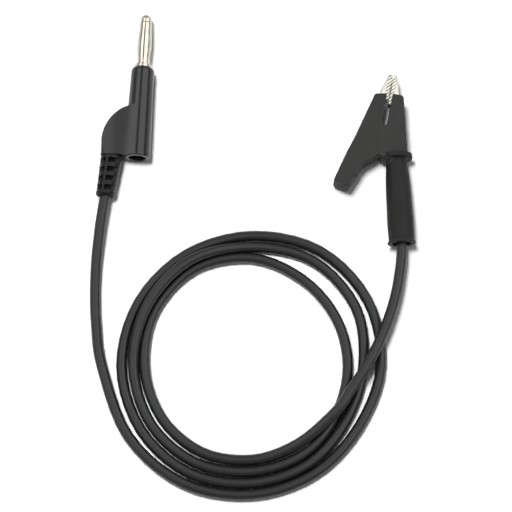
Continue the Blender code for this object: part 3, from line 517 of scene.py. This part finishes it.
def round_curve(name, points, radius, resolution):
    """A curve object of one spline with a round section and closed ends."""
    curve = bpy.data.curves.new(name, "CURVE")
    curve.dimensions = "3D"
    curve.bevel_depth = radius
    curve.bevel_resolution = resolution
    curve.use_fill_caps = True
    spline = curve.splines.new("POLY")
    spline.points.add(len(points) - 1)
    for knot, point in zip(spline.points, points):
        knot.co = (*point, 1.0)
    return added(name, curve)


def tube(name, points, radius, resolution):
    """A round tube with closed ends, as a mesh."""
    guide = round_curve(name, points, radius, resolution)
    mesh = bpy.data.meshes.new_from_object(guide)
    bpy.data.objects.remove(guide)
    mesh.name = name
    return mesh


def cut(mesh, steps):
    """Booleans with loose meshes in the same frame: (mesh, operation) each."""
    body = added("form", mesh)
    tools = []
    for tool_mesh, operation in steps:
        tools.append(added("form_tool", tool_mesh))
        modifier = body.modifiers.new("form", "BOOLEAN")
        modifier.operation = operation
        modifier.solver = "EXACT"
        modifier.object = tools[-1]
    bpy.context.view_layer.update()
    graph = bpy.context.evaluated_depsgraph_get()
    result = bpy.data.meshes.new_from_object(body.evaluated_get(graph))
    for old in [body, *tools]:
        bpy.data.objects.remove(old)
    bm = opened(result)
    gaps = sum(1 for edge in bm.edges if not edge.is_manifold)
    bm.free()
    if gaps or not result.polygons:
        raise RuntimeError(f"{mesh.name}: a Boolean left {gaps} open edges")
    return result


def moved(mesh, matrix):
    mesh.transform(matrix)
    return mesh


def softened(thing, width, angle):
    """Rounds the edges of a piece that are sharper than an angle, so that they catch the light."""
    bevel = thing.modifiers.new("softened_edges", "BEVEL")
    bevel.width = width
    bevel.segments = 2
    bevel.limit_method = "ANGLE"
    bevel.angle_limit = math.radians(angle)
    bevel.harden_normals = True


def arc(centre, radius, start, end, steps, height=None):
    """Points of an arc, or of an oval one where its height differs from its radius."""
    height = height or radius
    angles = [math.radians(start + (end - start) * i / steps) for i in range(steps + 1)]
    return [(centre[0] + radius * math.cos(a), centre[1] + height * math.sin(a)) for a in angles]


def filleted(corners, steps=5):
    """An outline from (x, y, radius) corners, each rounded by its radius."""
    outline = []
    count = len(corners)
    for i, (x, y, radius) in enumerate(corners):
        corner = Vector((x, y))
        if not radius:
            outline.append((x, y))
            continue
        before = (Vector(corners[i - 1][:2]) - corner).normalized()
        after = (Vector(corners[(i + 1) % count][:2]) - corner).normalized()
        half = before.angle(after) / 2
        reach = radius / math.tan(half)
        middle = corner + (before + after).normalized() * (radius / math.sin(half))
        first = (corner + before * reach - middle).normalized()
        last = (corner + after * reach - middle).normalized()
        for k in range(steps + 1):
            spoke = middle + first.slerp(last, k / steps) * radius
            outline.append((spoke.x, spoke.y))
    return outline


def rotated(x, y, turn):
    """A point of a frame turned clockwise by the turn, in the frame itself."""
    return (x * math.cos(turn) + y * math.sin(turn), y * math.cos(turn) - x * math.sin(turn))


# Cable

def smooth_point(points, place):
    i = min(int(place), len(points) - 2)
    t = place - i
    here, there = points[i], points[i + 1]
    before = points[i - 1] if i else 2 * here - there
    after = points[i + 2] if i + 2 < len(points) else 2 * there - here
    return 0.5 * (2 * here + (there - before) * t + (2 * before - 5 * here + 4 * there - after) * t ** 2
                  + (3 * here - before - 3 * there + after) * t ** 3)


def relief_axis(y):
    return RELIEF_PLACE + RELIEF_LEAN * y


def cable_points(settings):
    """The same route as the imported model's cable, drawn with more points."""
    points = [CLIP @ Vector((0.0, IN_HANDLE, 0.0)), CLIP.to_translation()]
    points += [Vector(point) for point in CLIP_TAIL]
    for k, radius in enumerate(TURN_RADII):
        bearing = FIRST_BEARING + k * BEARING_STEP
        a = math.radians(bearing)
        points.append(TURNS_MIDDLE + Vector((radius * math.sin(a), radius * math.cos(a),
                                             RAISED.get(bearing, settings.radius))))
    points += [Vector(point) for point in PLUG_TAIL]
    below = RELIEF_END - BEFORE_RELIEF
    points.append(PLUG @ Vector((relief_axis(below), below, 0.0)))
    count = (len(points) - 1) * settings.steps
    route = [smooth_point(points, k / settings.steps) for k in range(count + 1)]
    for point in route:
        point.z = max(point.z, settings.radius)
    inside = below + settings.into_relief
    route.append(PLUG @ Vector((relief_axis(inside), inside, 0.0)))
    return route


class LEAD_OT_cable(bpy.types.Operator):
    """Lay the cable along its route, from inside the clip's handle to the strain relief."""
    bl_idname = "lead.cable"
    bl_label = "Cable"

    def execute(self, context):
        settings = context.scene.lead_cable
        cable = round_curve("lead_cable", cable_points(settings), settings.radius, 7)
        cable.data.splines[0].use_smooth = True
        cable.data.materials.append(cable_finish())
        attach(cable, "lead")
        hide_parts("cable")
        return {"FINISHED"}


# Plug

def web_outline(settings):
    reach = settings.web_reach
    centre = (WEB_ARC_RADIUS - reach, WEB_STRAIGHT)
    inner, rise = 0.0005, 0.00025
    outer = arc(centre, WEB_ARC_RADIUS, 180, WEB_ARC_END, 20)
    return [(inner, rise), (-reach, rise), *outer, (inner, outer[-1][1])]


def web_height(x, y):
    """Height of the web's face: it falls towards its rim, and rises in a long hollow to the barrel."""
    points = [Vector(point) for point in WEB_FACE]
    for k in range(1, len(points) - 2):
        if points[k].x <= x <= points[k + 1].x:
            height = smooth_point(points, k + (x - points[k].x) / (points[k + 1].x - points[k].x)).y
            near = min(1.0, max(0.0, (x - WEB_HOLLOW[0]) / (WEB_HOLLOW[1] - WEB_HOLLOW[0])))
            return height - BARREL_SLOPE * (y - WEB_MIDDLE) * near
    raise ValueError(f"no web at {x}")


def faced(mesh, half):
    """Gives a plate the web's own height, with its rim in proportion."""
    mesh = sliced(sliced(mesh, 0.0, WEB_COLUMNS), math.radians(-90), WEB_ROWS)
    for vert in mesh.vertices:
        vert.co.z *= web_height(vert.co.x, vert.co.y) / half
    bm = opened(mesh)
    bmesh.ops.connect_verts_nonplanar(bm, angle_limit=math.radians(0.05), faces=bm.faces)
    return closed(bm, mesh)


def evened(thing):
    """Lets the large faces set the shading, so that they look as flat as they are."""
    weighted = thing.modifiers.new("evened_shading", "WEIGHTED_NORMAL")
    weighted.weight = 50
    weighted.keep_sharp = True


class LEAD_OT_plug_shell(bpy.types.Operator):
    """Make the plug's glossy moulding: a tapered barrel, a rounded nose and the flat web beside it."""
    bl_idname = "lead.plug_shell"
    bl_label = "Plug moulding"

    def execute(self, context):
        settings = context.scene.lead_plug
        length, rear, front = settings.barrel_length, settings.rear_radius, settings.front_radius
        edge, nose_length, nose_radius = 0.0004, 0.0013, 0.0031
        bore_radius, mouth, beyond = 0.0028, 0.00305, 0.001
        pocket_radius, pocket_end = 0.0027, RELIEF_STEM + 0.0003
        foot = arc((rear - edge, edge), edge, -90, 0, 6)
        nose = arc((nose_radius, length - nose_length), front - nose_radius, 0, 90, 9, height=nose_length)
        barrel = turned("barrel", [(0.0, 0.0), *foot, *nose, (0.0, length)], sides=96)
        outline = web_outline(settings)
        web = plate("web", outline, settings.web_half, rounding=settings.web_round, segments=7,
                    rounded=range(1, len(outline) - 2))
        web = faced(web, settings.web_half)
        bore = turned("bore", [
            (0.0, -beyond), (mouth, -beyond), (mouth, 0.0), (bore_radius, mouth - bore_radius),
            (bore_radius, length + beyond), (0.0, length + beyond)], sides=96)
        pocket = turned("pocket", [
            (0.0, -beyond), (pocket_radius, -beyond), (pocket_radius, pocket_end), (0.0, pocket_end)],
            sides=48, lean=RELIEF_LEAN, place=RELIEF_PLACE)
        mesh = cut(barrel, [(web, "UNION"), (pocket, "DIFFERENCE"), (bore, "DIFFERENCE")])
        shell = piece("plug_shell", mesh, PLUG, gloss_black_finish(), smooth=30.0)
        softened(shell, 0.00008, angle=40.0)
        evened(shell)
        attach(shell, "lead")
        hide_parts("plug_housing")
        return {"FINISHED"}


def relief_radius(y):
    return RELIEF_ROOT - RELIEF_TAPER * y / RELIEF_END


def wall_section(y, middle, half, steps=7):
    """A disc clipped to two opposite sectors: a wall that joins the relief's rings, cut across."""
    radius = relief_radius(y) - 0.00003
    section = []
    for side in (0.0, 180.0):
        for k in range(steps):
            a = math.radians(middle + side - half + 2 * half * k / (steps - 1))
            section.append((relief_axis(y) + radius * math.cos(a), y, radius * math.sin(a)))
    return section


class LEAD_OT_relief(bpy.types.Operator):
    """Make the slotted strain relief, with a rib and two side walls between its slots and a rounded end."""
    bl_idname = "lead.relief"
    bl_label = "Strain relief"

    def execute(self, context):
        stem, top = RELIEF_STEM_RADIUS, -0.00005
        profile = [(0.0, RELIEF_STEM), (stem, RELIEF_STEM), (stem, top), (relief_radius(top), top)]
        for k in range(4):
            upper = SLOT_FIRST - SLOT_PITCH * k
            lower = upper - SLOT_LENGTH
            profile += [(relief_radius(upper), upper), (RELIEF_CORE, upper), (RELIEF_CORE, lower),
                        (relief_radius(lower), lower)]
        ring, edge, mouth, end = 0.00315, 0.0009, 0.0018, RELIEF_END
        ring_start, floor = end + 0.0013, end + 0.0016
        profile += [(ring, ring_start), *arc((ring - edge, end + edge), edge, 0, -90, 6),
                    (mouth + 0.00005, end), (mouth, end + 0.0002), (mouth, floor), (0.0, floor)]
        sleeve = turned("relief_sleeve", profile, lean=RELIEF_LEAN, place=RELIEF_PLACE)
        walls = [[wall_section(y, middle, half) for y in WALL_ENDS] for middle, half in RELIEF_WALLS]
        walls = [(mesh_from(skinned(wall)[0], "wall"), "UNION") for wall in walls]
        relief = piece("relief_sleeve", cut(sleeve, walls), PLUG, satin_black_finish())
        softened(relief, 0.0001, angle=40.0)
        evened(relief)
        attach(relief, "lead")
        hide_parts("strain_relief")
        return {"FINISHED"}


class LEAD_OT_socket(bpy.types.Operator):
    """Make the turned body: the socket behind, the wire's groove, the flange and the collar in front."""
    bl_idname = "lead.socket"
    bl_label = "Socket body"

    def execute(self, context):
        bore, outside, groove, flange, collar, lip, seat, pin_bore = (
            0.002, 0.0025, 0.00215, 0.00295, 0.00285, 0.00265, 0.00245, 0.00155)
        rear, rear_chamfer, bore_end = 0.002, 0.0002, PIN_BORE_END - 0.005
        groove_start, groove_end = WIRE_HEIGHT - 0.0011, WIRE_HEIGHT + 0.0011
        flange_start, flange_end = 0.02285, 0.02435
        collar_start, collar_straight = COLLAR_FRONT - 0.0012, COLLAR_FRONT - 0.001
        mesh = turned("socket_sleeve", [
            (0.0, bore_end), (bore, bore_end), (bore, rear + rear_chamfer), (bore + 0.00015, rear),
            (outside, rear), (outside, groove_start), (groove, groove_start), (groove, groove_end),
            (outside, groove_end),
            (outside, flange_start), (flange, flange_start), (flange, flange_end), (outside, flange_end),
            (outside, collar_start), (collar, collar_start), (collar, collar_straight), (lip, COLLAR_FRONT),
            (seat, COLLAR_FRONT), (seat, CAGE_SEAT), (pin_bore, CAGE_SEAT), (pin_bore, PIN_BORE_END),
            (0.0, PIN_BORE_END)], sides=96)
        sleeve = piece("socket_sleeve", mesh, PLUG, nickel_finish(), smooth=30.0)
        softened(sleeve, 0.00004, angle=30.0)
        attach(sleeve, "lead")
        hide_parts("socket_body")
        return {"FINISHED"}


class LEAD_OT_pin(bpy.types.Operator):
    """Make the plug's pin, with its round head, its lands and its waist."""
    bl_idname = "lead.pin"
    bl_label = "Pin"

    def execute(self, context):
        tail, land, waist, flat, head_radius = 0.00125, 0.00153, 0.00108, 0.0004, 0.00188
        land_length, slope, edge = 0.0017, 0.00045, 0.0001
        head, tail_end = CAGE_END + 0.0003, PIN_BORE_END + 0.0003
        straight, head_length = 0.0009, 0.0027
        dome = arc((flat, head + straight), head_radius - flat, 0, 90, 12, height=head_length - straight)
        mesh = turned("plug_pin", [
            (0.0, tail_end), (tail, tail_end), (tail, CAGE_START), (land, CAGE_START),
            (land, CAGE_START + land_length), (waist, CAGE_START + land_length + slope),
            (waist, CAGE_END - land_length - slope), (land, CAGE_END - land_length), (land, head),
            (head_radius - edge, head), (head_radius, head + edge), *dome, (0.0, head + head_length)], sides=96)
        pin = piece("plug_pin", mesh, PLUG, bpy.data.materials["bright_nickel"], smooth=30.0)
        softened(pin, 0.00003, angle=30.0)
        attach(pin, "lead")
        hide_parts("pin_core")
        return {"FINISHED"}


class LEAD_OT_cage(bpy.types.Operator):
    """Make the pin's sprung sleeve, slit into four bowed leaves between two bands."""
    bl_idname = "lead.cage"
    bl_label = "Sprung sleeve"

    def execute(self, context):
        bow = context.scene.lead_plug.leaf_bow
        start, end, band, sheet, radius = CAGE_START, CAGE_END, 0.00205, 0.00022, 0.00205
        leaf_start, leaf, steps, ease, rise = start + band, end - start - 2 * band, 24, 0.00004, 0.00006
        curve = [(radius + bow * math.sin(math.pi * k / steps), leaf_start + leaf * k / steps)
                 for k in range(steps + 1)]
        outer = [(radius - ease, start), (radius, start + rise), *curve, (radius, end - rise),
                 (radius - ease, end)]
        inner = [(r - sheet, y) for r, y in reversed(outer)]
        sleeve = turned("leaf_cage", outer + inner, sides=96, ring=True)
        half, slit_end = 0.000175, leaf_start + leaf
        slit = filleted([(x, y, half * 0.9) for x, y in (
            (-half, leaf_start), (half, leaf_start), (half, slit_end), (-half, slit_end))], steps=3)
        slits = [(moved(plate("slit", slit, 0.004), Matrix.Rotation(turn, 4, "Y")), "DIFFERENCE")
                 for turn in (0.0, math.pi / 2)]
        cage = piece("leaf_cage", cut(sleeve, slits), PLUG, bpy.data.materials["bright_nickel"],
                     smooth=30.0)
        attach(cage, "cage")
        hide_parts("spring_cage")
        return {"FINISHED"}


def strand_bundle(path, radius):
    """Seven bare wires twisted along a path of points in XY, as one mesh."""
    wire, twist = radius / 3, 0.006
    length = [0.0]
    for here, there in zip(path, path[1:]):
        length.append(length[-1] + (there - here).length)
    bm = bmesh.new()
    for strand in range(7):
        points = []
        for i, here in enumerate(path):
            along = (path[min(i + 1, len(path) - 1)] - path[max(i - 1, 0)]).normalized()
            side = along.cross(Vector((0.0, 0.0, 1.0)))
            a = math.tau * (strand / 6 + length[i] / twist)
            offset = Vector() if strand == 6 else side * math.cos(a) + Vector((0.0, 0.0, 1.0)) * math.sin(a)
            points.append(here + offset * 2 * wire)
        bm.from_mesh(tube("strand", points, wire, resolution=1))
    return mesh_from(bm, "strands")


def even_path(corners, step=0.0003):
    """Points at even steps along straight runs and bends given by their (x, y) corners."""
    corners = [Vector((x, y, 0.0)) for x, y in corners]
    path = []
    for here, there in zip(corners, corners[1:]):
        count = max(1, round((there - here).length / step))
        path += [here.lerp(there, k / count) for k in range(count)]
    return path + [corners[-1]]


class LEAD_OT_strands(bpy.types.Operator):
    """Make the bare copper strands inside the plug's web and inside the clip's handle."""
    bl_idname = "lead.strands"
    bl_label = "Copper strands"

    def execute(self, context):
        finish = copper_finish()
        x, curl, radius = relief_axis(RELIEF_STEM), 0.0015, 0.00075
        bend = arc((x + curl, WIRE_HEIGHT - curl), curl, 180, 90, 8)
        for name, node, place, corners in (
                ("plug_strands", "plug_conductor", PLUG,
                 [(x, RELIEF_STEM + 0.0003), *bend, (-0.00245, WIRE_HEIGHT)]),
                ("clip_strands", "clip_conductor", CLIP, [(-0.00015, 0.0123), (-0.00015, 0.021)])):
            strands = piece(name, strand_bundle(even_path(corners), radius), place, finish)
            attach(strands, "lead")
            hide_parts(node)
        return {"FINISHED"}


# Clip

def cover_outline():
    """The cover's flat part from the pivot, with its corners rounded."""
    back, front, step = 0.0078, 0.0135, 0.01445
    corner = (step - back * math.sin(LEVER_TURN)) / math.cos(LEVER_TURN)
    lever_end = LEVER_END - 0.0003 - 0.00085
    lever_edge = 0.0031
    foot = (GUARD_UNDER + GUARD_TOP) / 2 - PIVOT_HEIGHT
    notch_foot = -0.0079
    return filleted([
        (back, foot, 0.0), (back, front, 0.0009), (HANDLE_OFFSET, front, 0.0),
        (HANDLE_OFFSET - 0.0019, step, 0.0), (*rotated(-back, corner, LEVER_TURN), 0.0006),
        (*rotated(-back, -0.004, LEVER_TURN), 0.0), (*rotated(-back - 0.0003, -0.0095, LEVER_TURN), 0.0),
        (*rotated(-back - 0.0003, lever_end, LEVER_TURN), 0.0006),
        (*rotated(-lever_edge, lever_end, LEVER_TURN), 0.0009),
        (*rotated(-0.0021, -0.0115, LEVER_TURN), 0.0016), (-0.0015, -0.0061, 0.0004), (0.0011, notch_foot, 0.0),
        (HANDLE_OFFSET, notch_foot, 0.0), (HANDLE_OFFSET, foot, 0.0)])


def sliced(mesh, turn, offsets):
    """Adds edges across the mesh on planes at the given offsets, such as beside the bite line."""
    bm = opened(mesh)
    across = Vector((math.cos(turn), -math.sin(turn), 0.0))
    for offset in offsets:
        bmesh.ops.bisect_plane(bm, geom=bm.verts[:] + bm.edges[:] + bm.faces[:], dist=0.000001,
                               plane_co=across * offset, plane_no=across)
    return closed(bm, mesh)


class LEAD_OT_cover(bpy.types.Operator):
    """Make the clip's soft cover: a hollow plate round the jaws, a lever, a guard ring and a handle."""
    bl_idname = "lead.cover"
    bl_label = "Clip cover"

    def execute(self, context):
        settings = context.scene.lead_clip
        half, neck, mouth, guard = (settings.cover_half, settings.handle_neck, settings.handle_mouth,
                                    settings.guard_radius)
        cover = plate("clip_cover", cover_outline(), half, rounding=settings.cover_edge, segments=5)
        to_pivot = Matrix.Translation((HANDLE_OFFSET, -PIVOT_HEIGHT, 0.0))
        lip, lip_edge = mouth + 0.00045, 0.0003
        under, top, ease = GUARD_UNDER, GUARD_TOP, 0.0004
        rim = arc((lip - lip_edge, lip_edge), lip_edge, -90, 90, 6)
        ring = [*arc((guard - ease, under + ease), ease, -90, 0, 5),
                *arc((guard - ease, top - ease), ease, 0, 90, 5)]
        belly = [Vector(point) for point in ((mouth, 0.0011), *HANDLE_BELLY, (neck, under - 0.0005))]
        flare = [tuple(smooth_point(belly, k / 3)) for k in range(3 * (len(belly) - 1) + 1)]
        handle = moved(turned("handle", [
            (0.0, 0.0), *rim, (mouth + 0.0001, 0.0007), (mouth, 0.0009), *flare,
            (neck + 0.0001, under - 0.0002), (neck + 0.0004, under), *ring, (0.003, top), (0.0, top)],
            sides=96), to_pivot)
        floor, reach = top - PIVOT_HEIGHT - 0.0003, 0.0175
        bore_radius, cavity_half, pocket_half = 0.00253, 0.0027, 0.0018
        cavity = plate("cavity", [
            (CAVITY_BACK, reach), (CAVITY_BACK, floor), (HANDLE_OFFSET - bore_radius - 0.0003, floor),
            (-0.0015, -0.005), rotated(-0.00295, -0.009, LEVER_TURN), rotated(-CAVITY_BACK, -0.009, LEVER_TURN),
            rotated(-CAVITY_BACK, reach, LEVER_TURN)], cavity_half)
        pocket_back, pocket_end = JAW_BACK + 0.00035, LEVER_END - 0.0003
        pocket = plate("pocket", [
            rotated(-pocket_back, pocket_end, LEVER_TURN), rotated(-0.00395, pocket_end, LEVER_TURN),
            rotated(-0.00335, -0.008, LEVER_TURN), rotated(-pocket_back, -0.008, LEVER_TURN)], pocket_half)
        bore = moved(turned("bore", [
            (0.0, -0.002), (0.0031, -0.002), (0.003, 0.0002), (0.003, 0.006), (bore_radius, 0.0063),
            (bore_radius, top + 0.0003), (0.0, top + 0.0003)], sides=72), to_pivot)
        slot_half, slot_bottom = 0.00092, 0.0046
        slot = plate("slot", [rotated(*point, BITE_TURN) for point in (
            *arc((0.0, slot_bottom), slot_half, 180, 360, 16), (slot_half, reach), (-slot_half, reach))], 0.006)
        mesh = cut(cover, [(handle, "UNION"), (cavity, "DIFFERENCE"), (pocket, "DIFFERENCE"),
                           (bore, "DIFFERENCE"), (slot, "DIFFERENCE")])
        band = 0.0013
        mesh = sliced(mesh, BITE_TURN, [band * (k / 5 - 1) for k in range(11)])
        soft = piece("clip_cover", mesh, PIVOT, soft_black_finish(), smooth=35.0)
        softened(soft, 0.00012, angle=40.0)
        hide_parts("clip_boot")
        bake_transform(soft)
        return {"FINISHED"}


class LEAD_OT_jaws(bpy.types.Operator):
    """Finish both folded jaws and their rivet, with eased edges that catch the light."""
    bl_idname = "lead.jaws"
    bl_label = "Jaws and rivet"

    def execute(self, context):
        finish = steel_finish()
        for name in ("fixed_jaw", "moving_jaw", "jaw_pivot"):
            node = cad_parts[name]
            node.material_slots[0].material = finish
            weld = node.modifiers.new("weld", "WELD")
            weld.merge_threshold = 0.000002
            softened(node, 0.00007, angle=30.0)
        return {"FINISHED"}


class LEAD_OT_spring(bpy.types.Operator):
    """Wind the spring round the rivet, with a leg in each jaw's tail."""
    bl_idname = "lead.spring"
    bl_label = "Spring"

    def execute(self, context):
        wire = context.scene.lead_clip.spring_wire
        sheet, clearance = 0.00045, 0.0003
        leg = JAW_BACK - sheet - wire - clearance
        radius, foot = 0.00165, -0.0031
        fixed_end, lever_end = Vector((leg, foot)), Vector(rotated(-leg, foot, LEVER_TURN))
        swing = math.acos(radius / fixed_end.length)
        start = math.atan2(fixed_end.y, fixed_end.x) + swing
        end = math.atan2(lever_end.y, lever_end.x) % math.tau - swing + 2 * math.tau
        steps, pitch = 90, 0.00056
        height = pitch * (end - start) / math.tau
        coil = arc((0.0, 0.0), radius, math.degrees(start), math.degrees(end), steps)
        turns = [(x, y, height * (k / steps - 0.5)) for k, (x, y) in enumerate(coil)]
        points = [(*fixed_end, -height / 2), *turns, (*lever_end, height / 2)]
        spring = piece("closing_spring", tube("closing_spring", points, wire, resolution=4), PIVOT,
                       spring_steel_finish())
        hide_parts("jaw_spring")
        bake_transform(spring)
        return {"FINISHED"}


# Stage

def soft_box(name, place, aim, size, power, shade=True, shine=True):
    """A soft box that lights what is matt, what is glossy or both."""
    lamp = bpy.data.lights.new(name, "AREA")
    lamp.shape = "RECTANGLE"
    lamp.size, lamp.size_y = size
    lamp.energy = power
    light = added(name, lamp)
    light.location = place
    light.rotation_euler = (Vector(aim) - Vector(place)).to_track_quat("-Z", "Y").to_euler()
    light.visible_diffuse = shade
    light.visible_glossy = shine


def plain_or_seen(tree, output, plain, seen):
    """Gives an output one shader where the camera or a shiny surface sees it, and else the plain one."""
    path = tree.nodes.new("ShaderNodeLightPath").outputs
    share = path["Is Camera Ray"]
    for ray in ("Is Glossy Ray", "Is Transmission Ray"):
        share = reckoned(tree, "MAXIMUM", share, path[ray])
    choice = wired(tree, "ShaderNodeMixShader", {0: share, 1: plain, 2: seen})
    wired(tree, output, {"Surface": choice.outputs["Shader"]})


def floor_finish(white):
    """A white floor: plain for the light that bounces, and lifted to full white where it is seen."""
    floor = bpy.data.materials.new("white_floor")
    floor.use_nodes = True
    tree = floor.node_tree
    tree.nodes.clear()
    plain, lift = (wired(tree, "ShaderNodeBsdfDiffuse", {"Color": (level, level, level, 1.0)}).outputs["BSDF"]
                   for level in (white, FLOOR_LIFT))
    both = wired(tree, "ShaderNodeAddShader", {0: plain, 1: lift})
    plain_or_seen(tree, "ShaderNodeOutputMaterial", plain, both.outputs["Shader"])
    return floor


def white_surroundings():
    """White to the camera, pale to grey overhead in reflections, and a plain grey fill for the light."""
    world = bpy.data.worlds.new("white_surroundings")
    bpy.context.scene.world = world
    world.use_nodes = True
    tree = world.node_tree
    tree.nodes.clear()
    direction = tree.nodes.new("ShaderNodeTexCoord").outputs["Generated"]
    up = wired(tree, "ShaderNodeSeparateXYZ", {"Vector": direction}).outputs["Z"]
    fade = spread(tree, up, HORIZON, OVERHEAD, *FADE)
    camera_ray = tree.nodes.new("ShaderNodeLightPath").outputs["Is Camera Ray"]
    shown, fill = (wired(tree, "ShaderNodeBackground", {"Strength": level}).outputs["Background"]
                   for level in (reckoned(tree, "MAXIMUM", fade, camera_ray), FILL))
    plain_or_seen(tree, "ShaderNodeOutputWorld", fill, shown)


class LEAD_OT_stage(bpy.types.Operator):
    """Set the camera, a white floor, a soft box overhead, two long panels beside it and a white background."""
    bl_idname = "lead.stage"
    bl_label = "Stage"

    def execute(self, context):
        settings = context.scene.lead_stage
        target = Vector(AIM)
        tilt = settings.elevation
        camera = added("camera", bpy.data.cameras.new("camera"))
        camera.location = target + settings.distance * Vector((0.0, -math.cos(tilt), math.sin(tilt)))
        camera.rotation_euler = (math.pi / 2 - tilt, 0.0, 0.0)
        camera.data.lens = settings.lens
        camera.data.sensor_width = 36.0
        camera.data.clip_start = 0.01
        context.scene.camera = camera

        bm = bmesh.new()
        bmesh.ops.create_grid(bm, x_segments=2, y_segments=2, size=FLOOR_HALF)
        floor = added("floor", mesh_from(bm, "floor"))
        floor.data.materials.append(floor_finish(settings.floor_white))

        white_surroundings()
        soft_box("key_soft_box", KEY_PLACE, target, KEY_SIZE, settings.key, shine=False)
        for name, place, size, power in PANELS:
            aim = (PLUG.translation.x, place[1], 0.0)
            soft_box(name, place, aim, size, power * settings.panels, shade=False)
        context.scene.view_settings.view_transform = "Standard"
        return {"FINISHED"}


class LEAD_PT_panel(bpy.types.Panel):
    """Lists the steps that dress the test lead."""
    bl_idname = "LEAD_PT_panel"
    bl_label = "Test Lead"
    bl_space_type = "VIEW_3D"
    bl_region_type = "UI"
    bl_category = "Test Lead"

    def draw(self, context):
        for step in STEPS:
            self.layout.operator(step.bl_idname)
        for group in GROUPS:
            box = self.layout.box()
            settings = getattr(context.scene, group)
            for name in settings.bl_rna.properties.keys():
                if name not in ("name", "rna_type"):
                    box.prop(settings, name)


GROUPS = {
    "lead_cable": LeadCableSettings,
    "lead_plug": LeadPlugSettings,
    "lead_clip": LeadClipSettings,
    "lead_finishes": LeadFinishSettings,
    "lead_stage": LeadStageSettings,
}
STEPS = (LEAD_OT_stage, LEAD_OT_cable, LEAD_OT_plug_shell, LEAD_OT_relief, LEAD_OT_socket, LEAD_OT_pin,
         LEAD_OT_cage, LEAD_OT_strands, LEAD_OT_cover, LEAD_OT_jaws, LEAD_OT_spring)


def register():
    for group in (*GROUPS.values(), *STEPS, LEAD_PT_panel):
        bpy.utils.register_class(group)
    for name, group in GROUPS.items():
        setattr(bpy.types.Scene, name, bpy.props.PointerProperty(type=group))


def unregister():
    for name in GROUPS:
        delattr(bpy.types.Scene, name)
    for group in reversed((*GROUPS.values(), *STEPS, LEAD_PT_panel)):
        bpy.utils.unregister_class(group)


def main():
    register()
    bpy.ops.lead.stage()
    bpy.ops.lead.cable()
    bpy.ops.lead.plug_shell()
    bpy.ops.lead.relief()
    bpy.ops.lead.socket()
    bpy.ops.lead.pin()
    bpy.ops.lead.cage()
    bpy.ops.lead.strands()
    bpy.ops.lead.cover()
    bpy.ops.lead.jaws()
    bpy.ops.lead.spring()


if __name__ == "__main__":
    main()
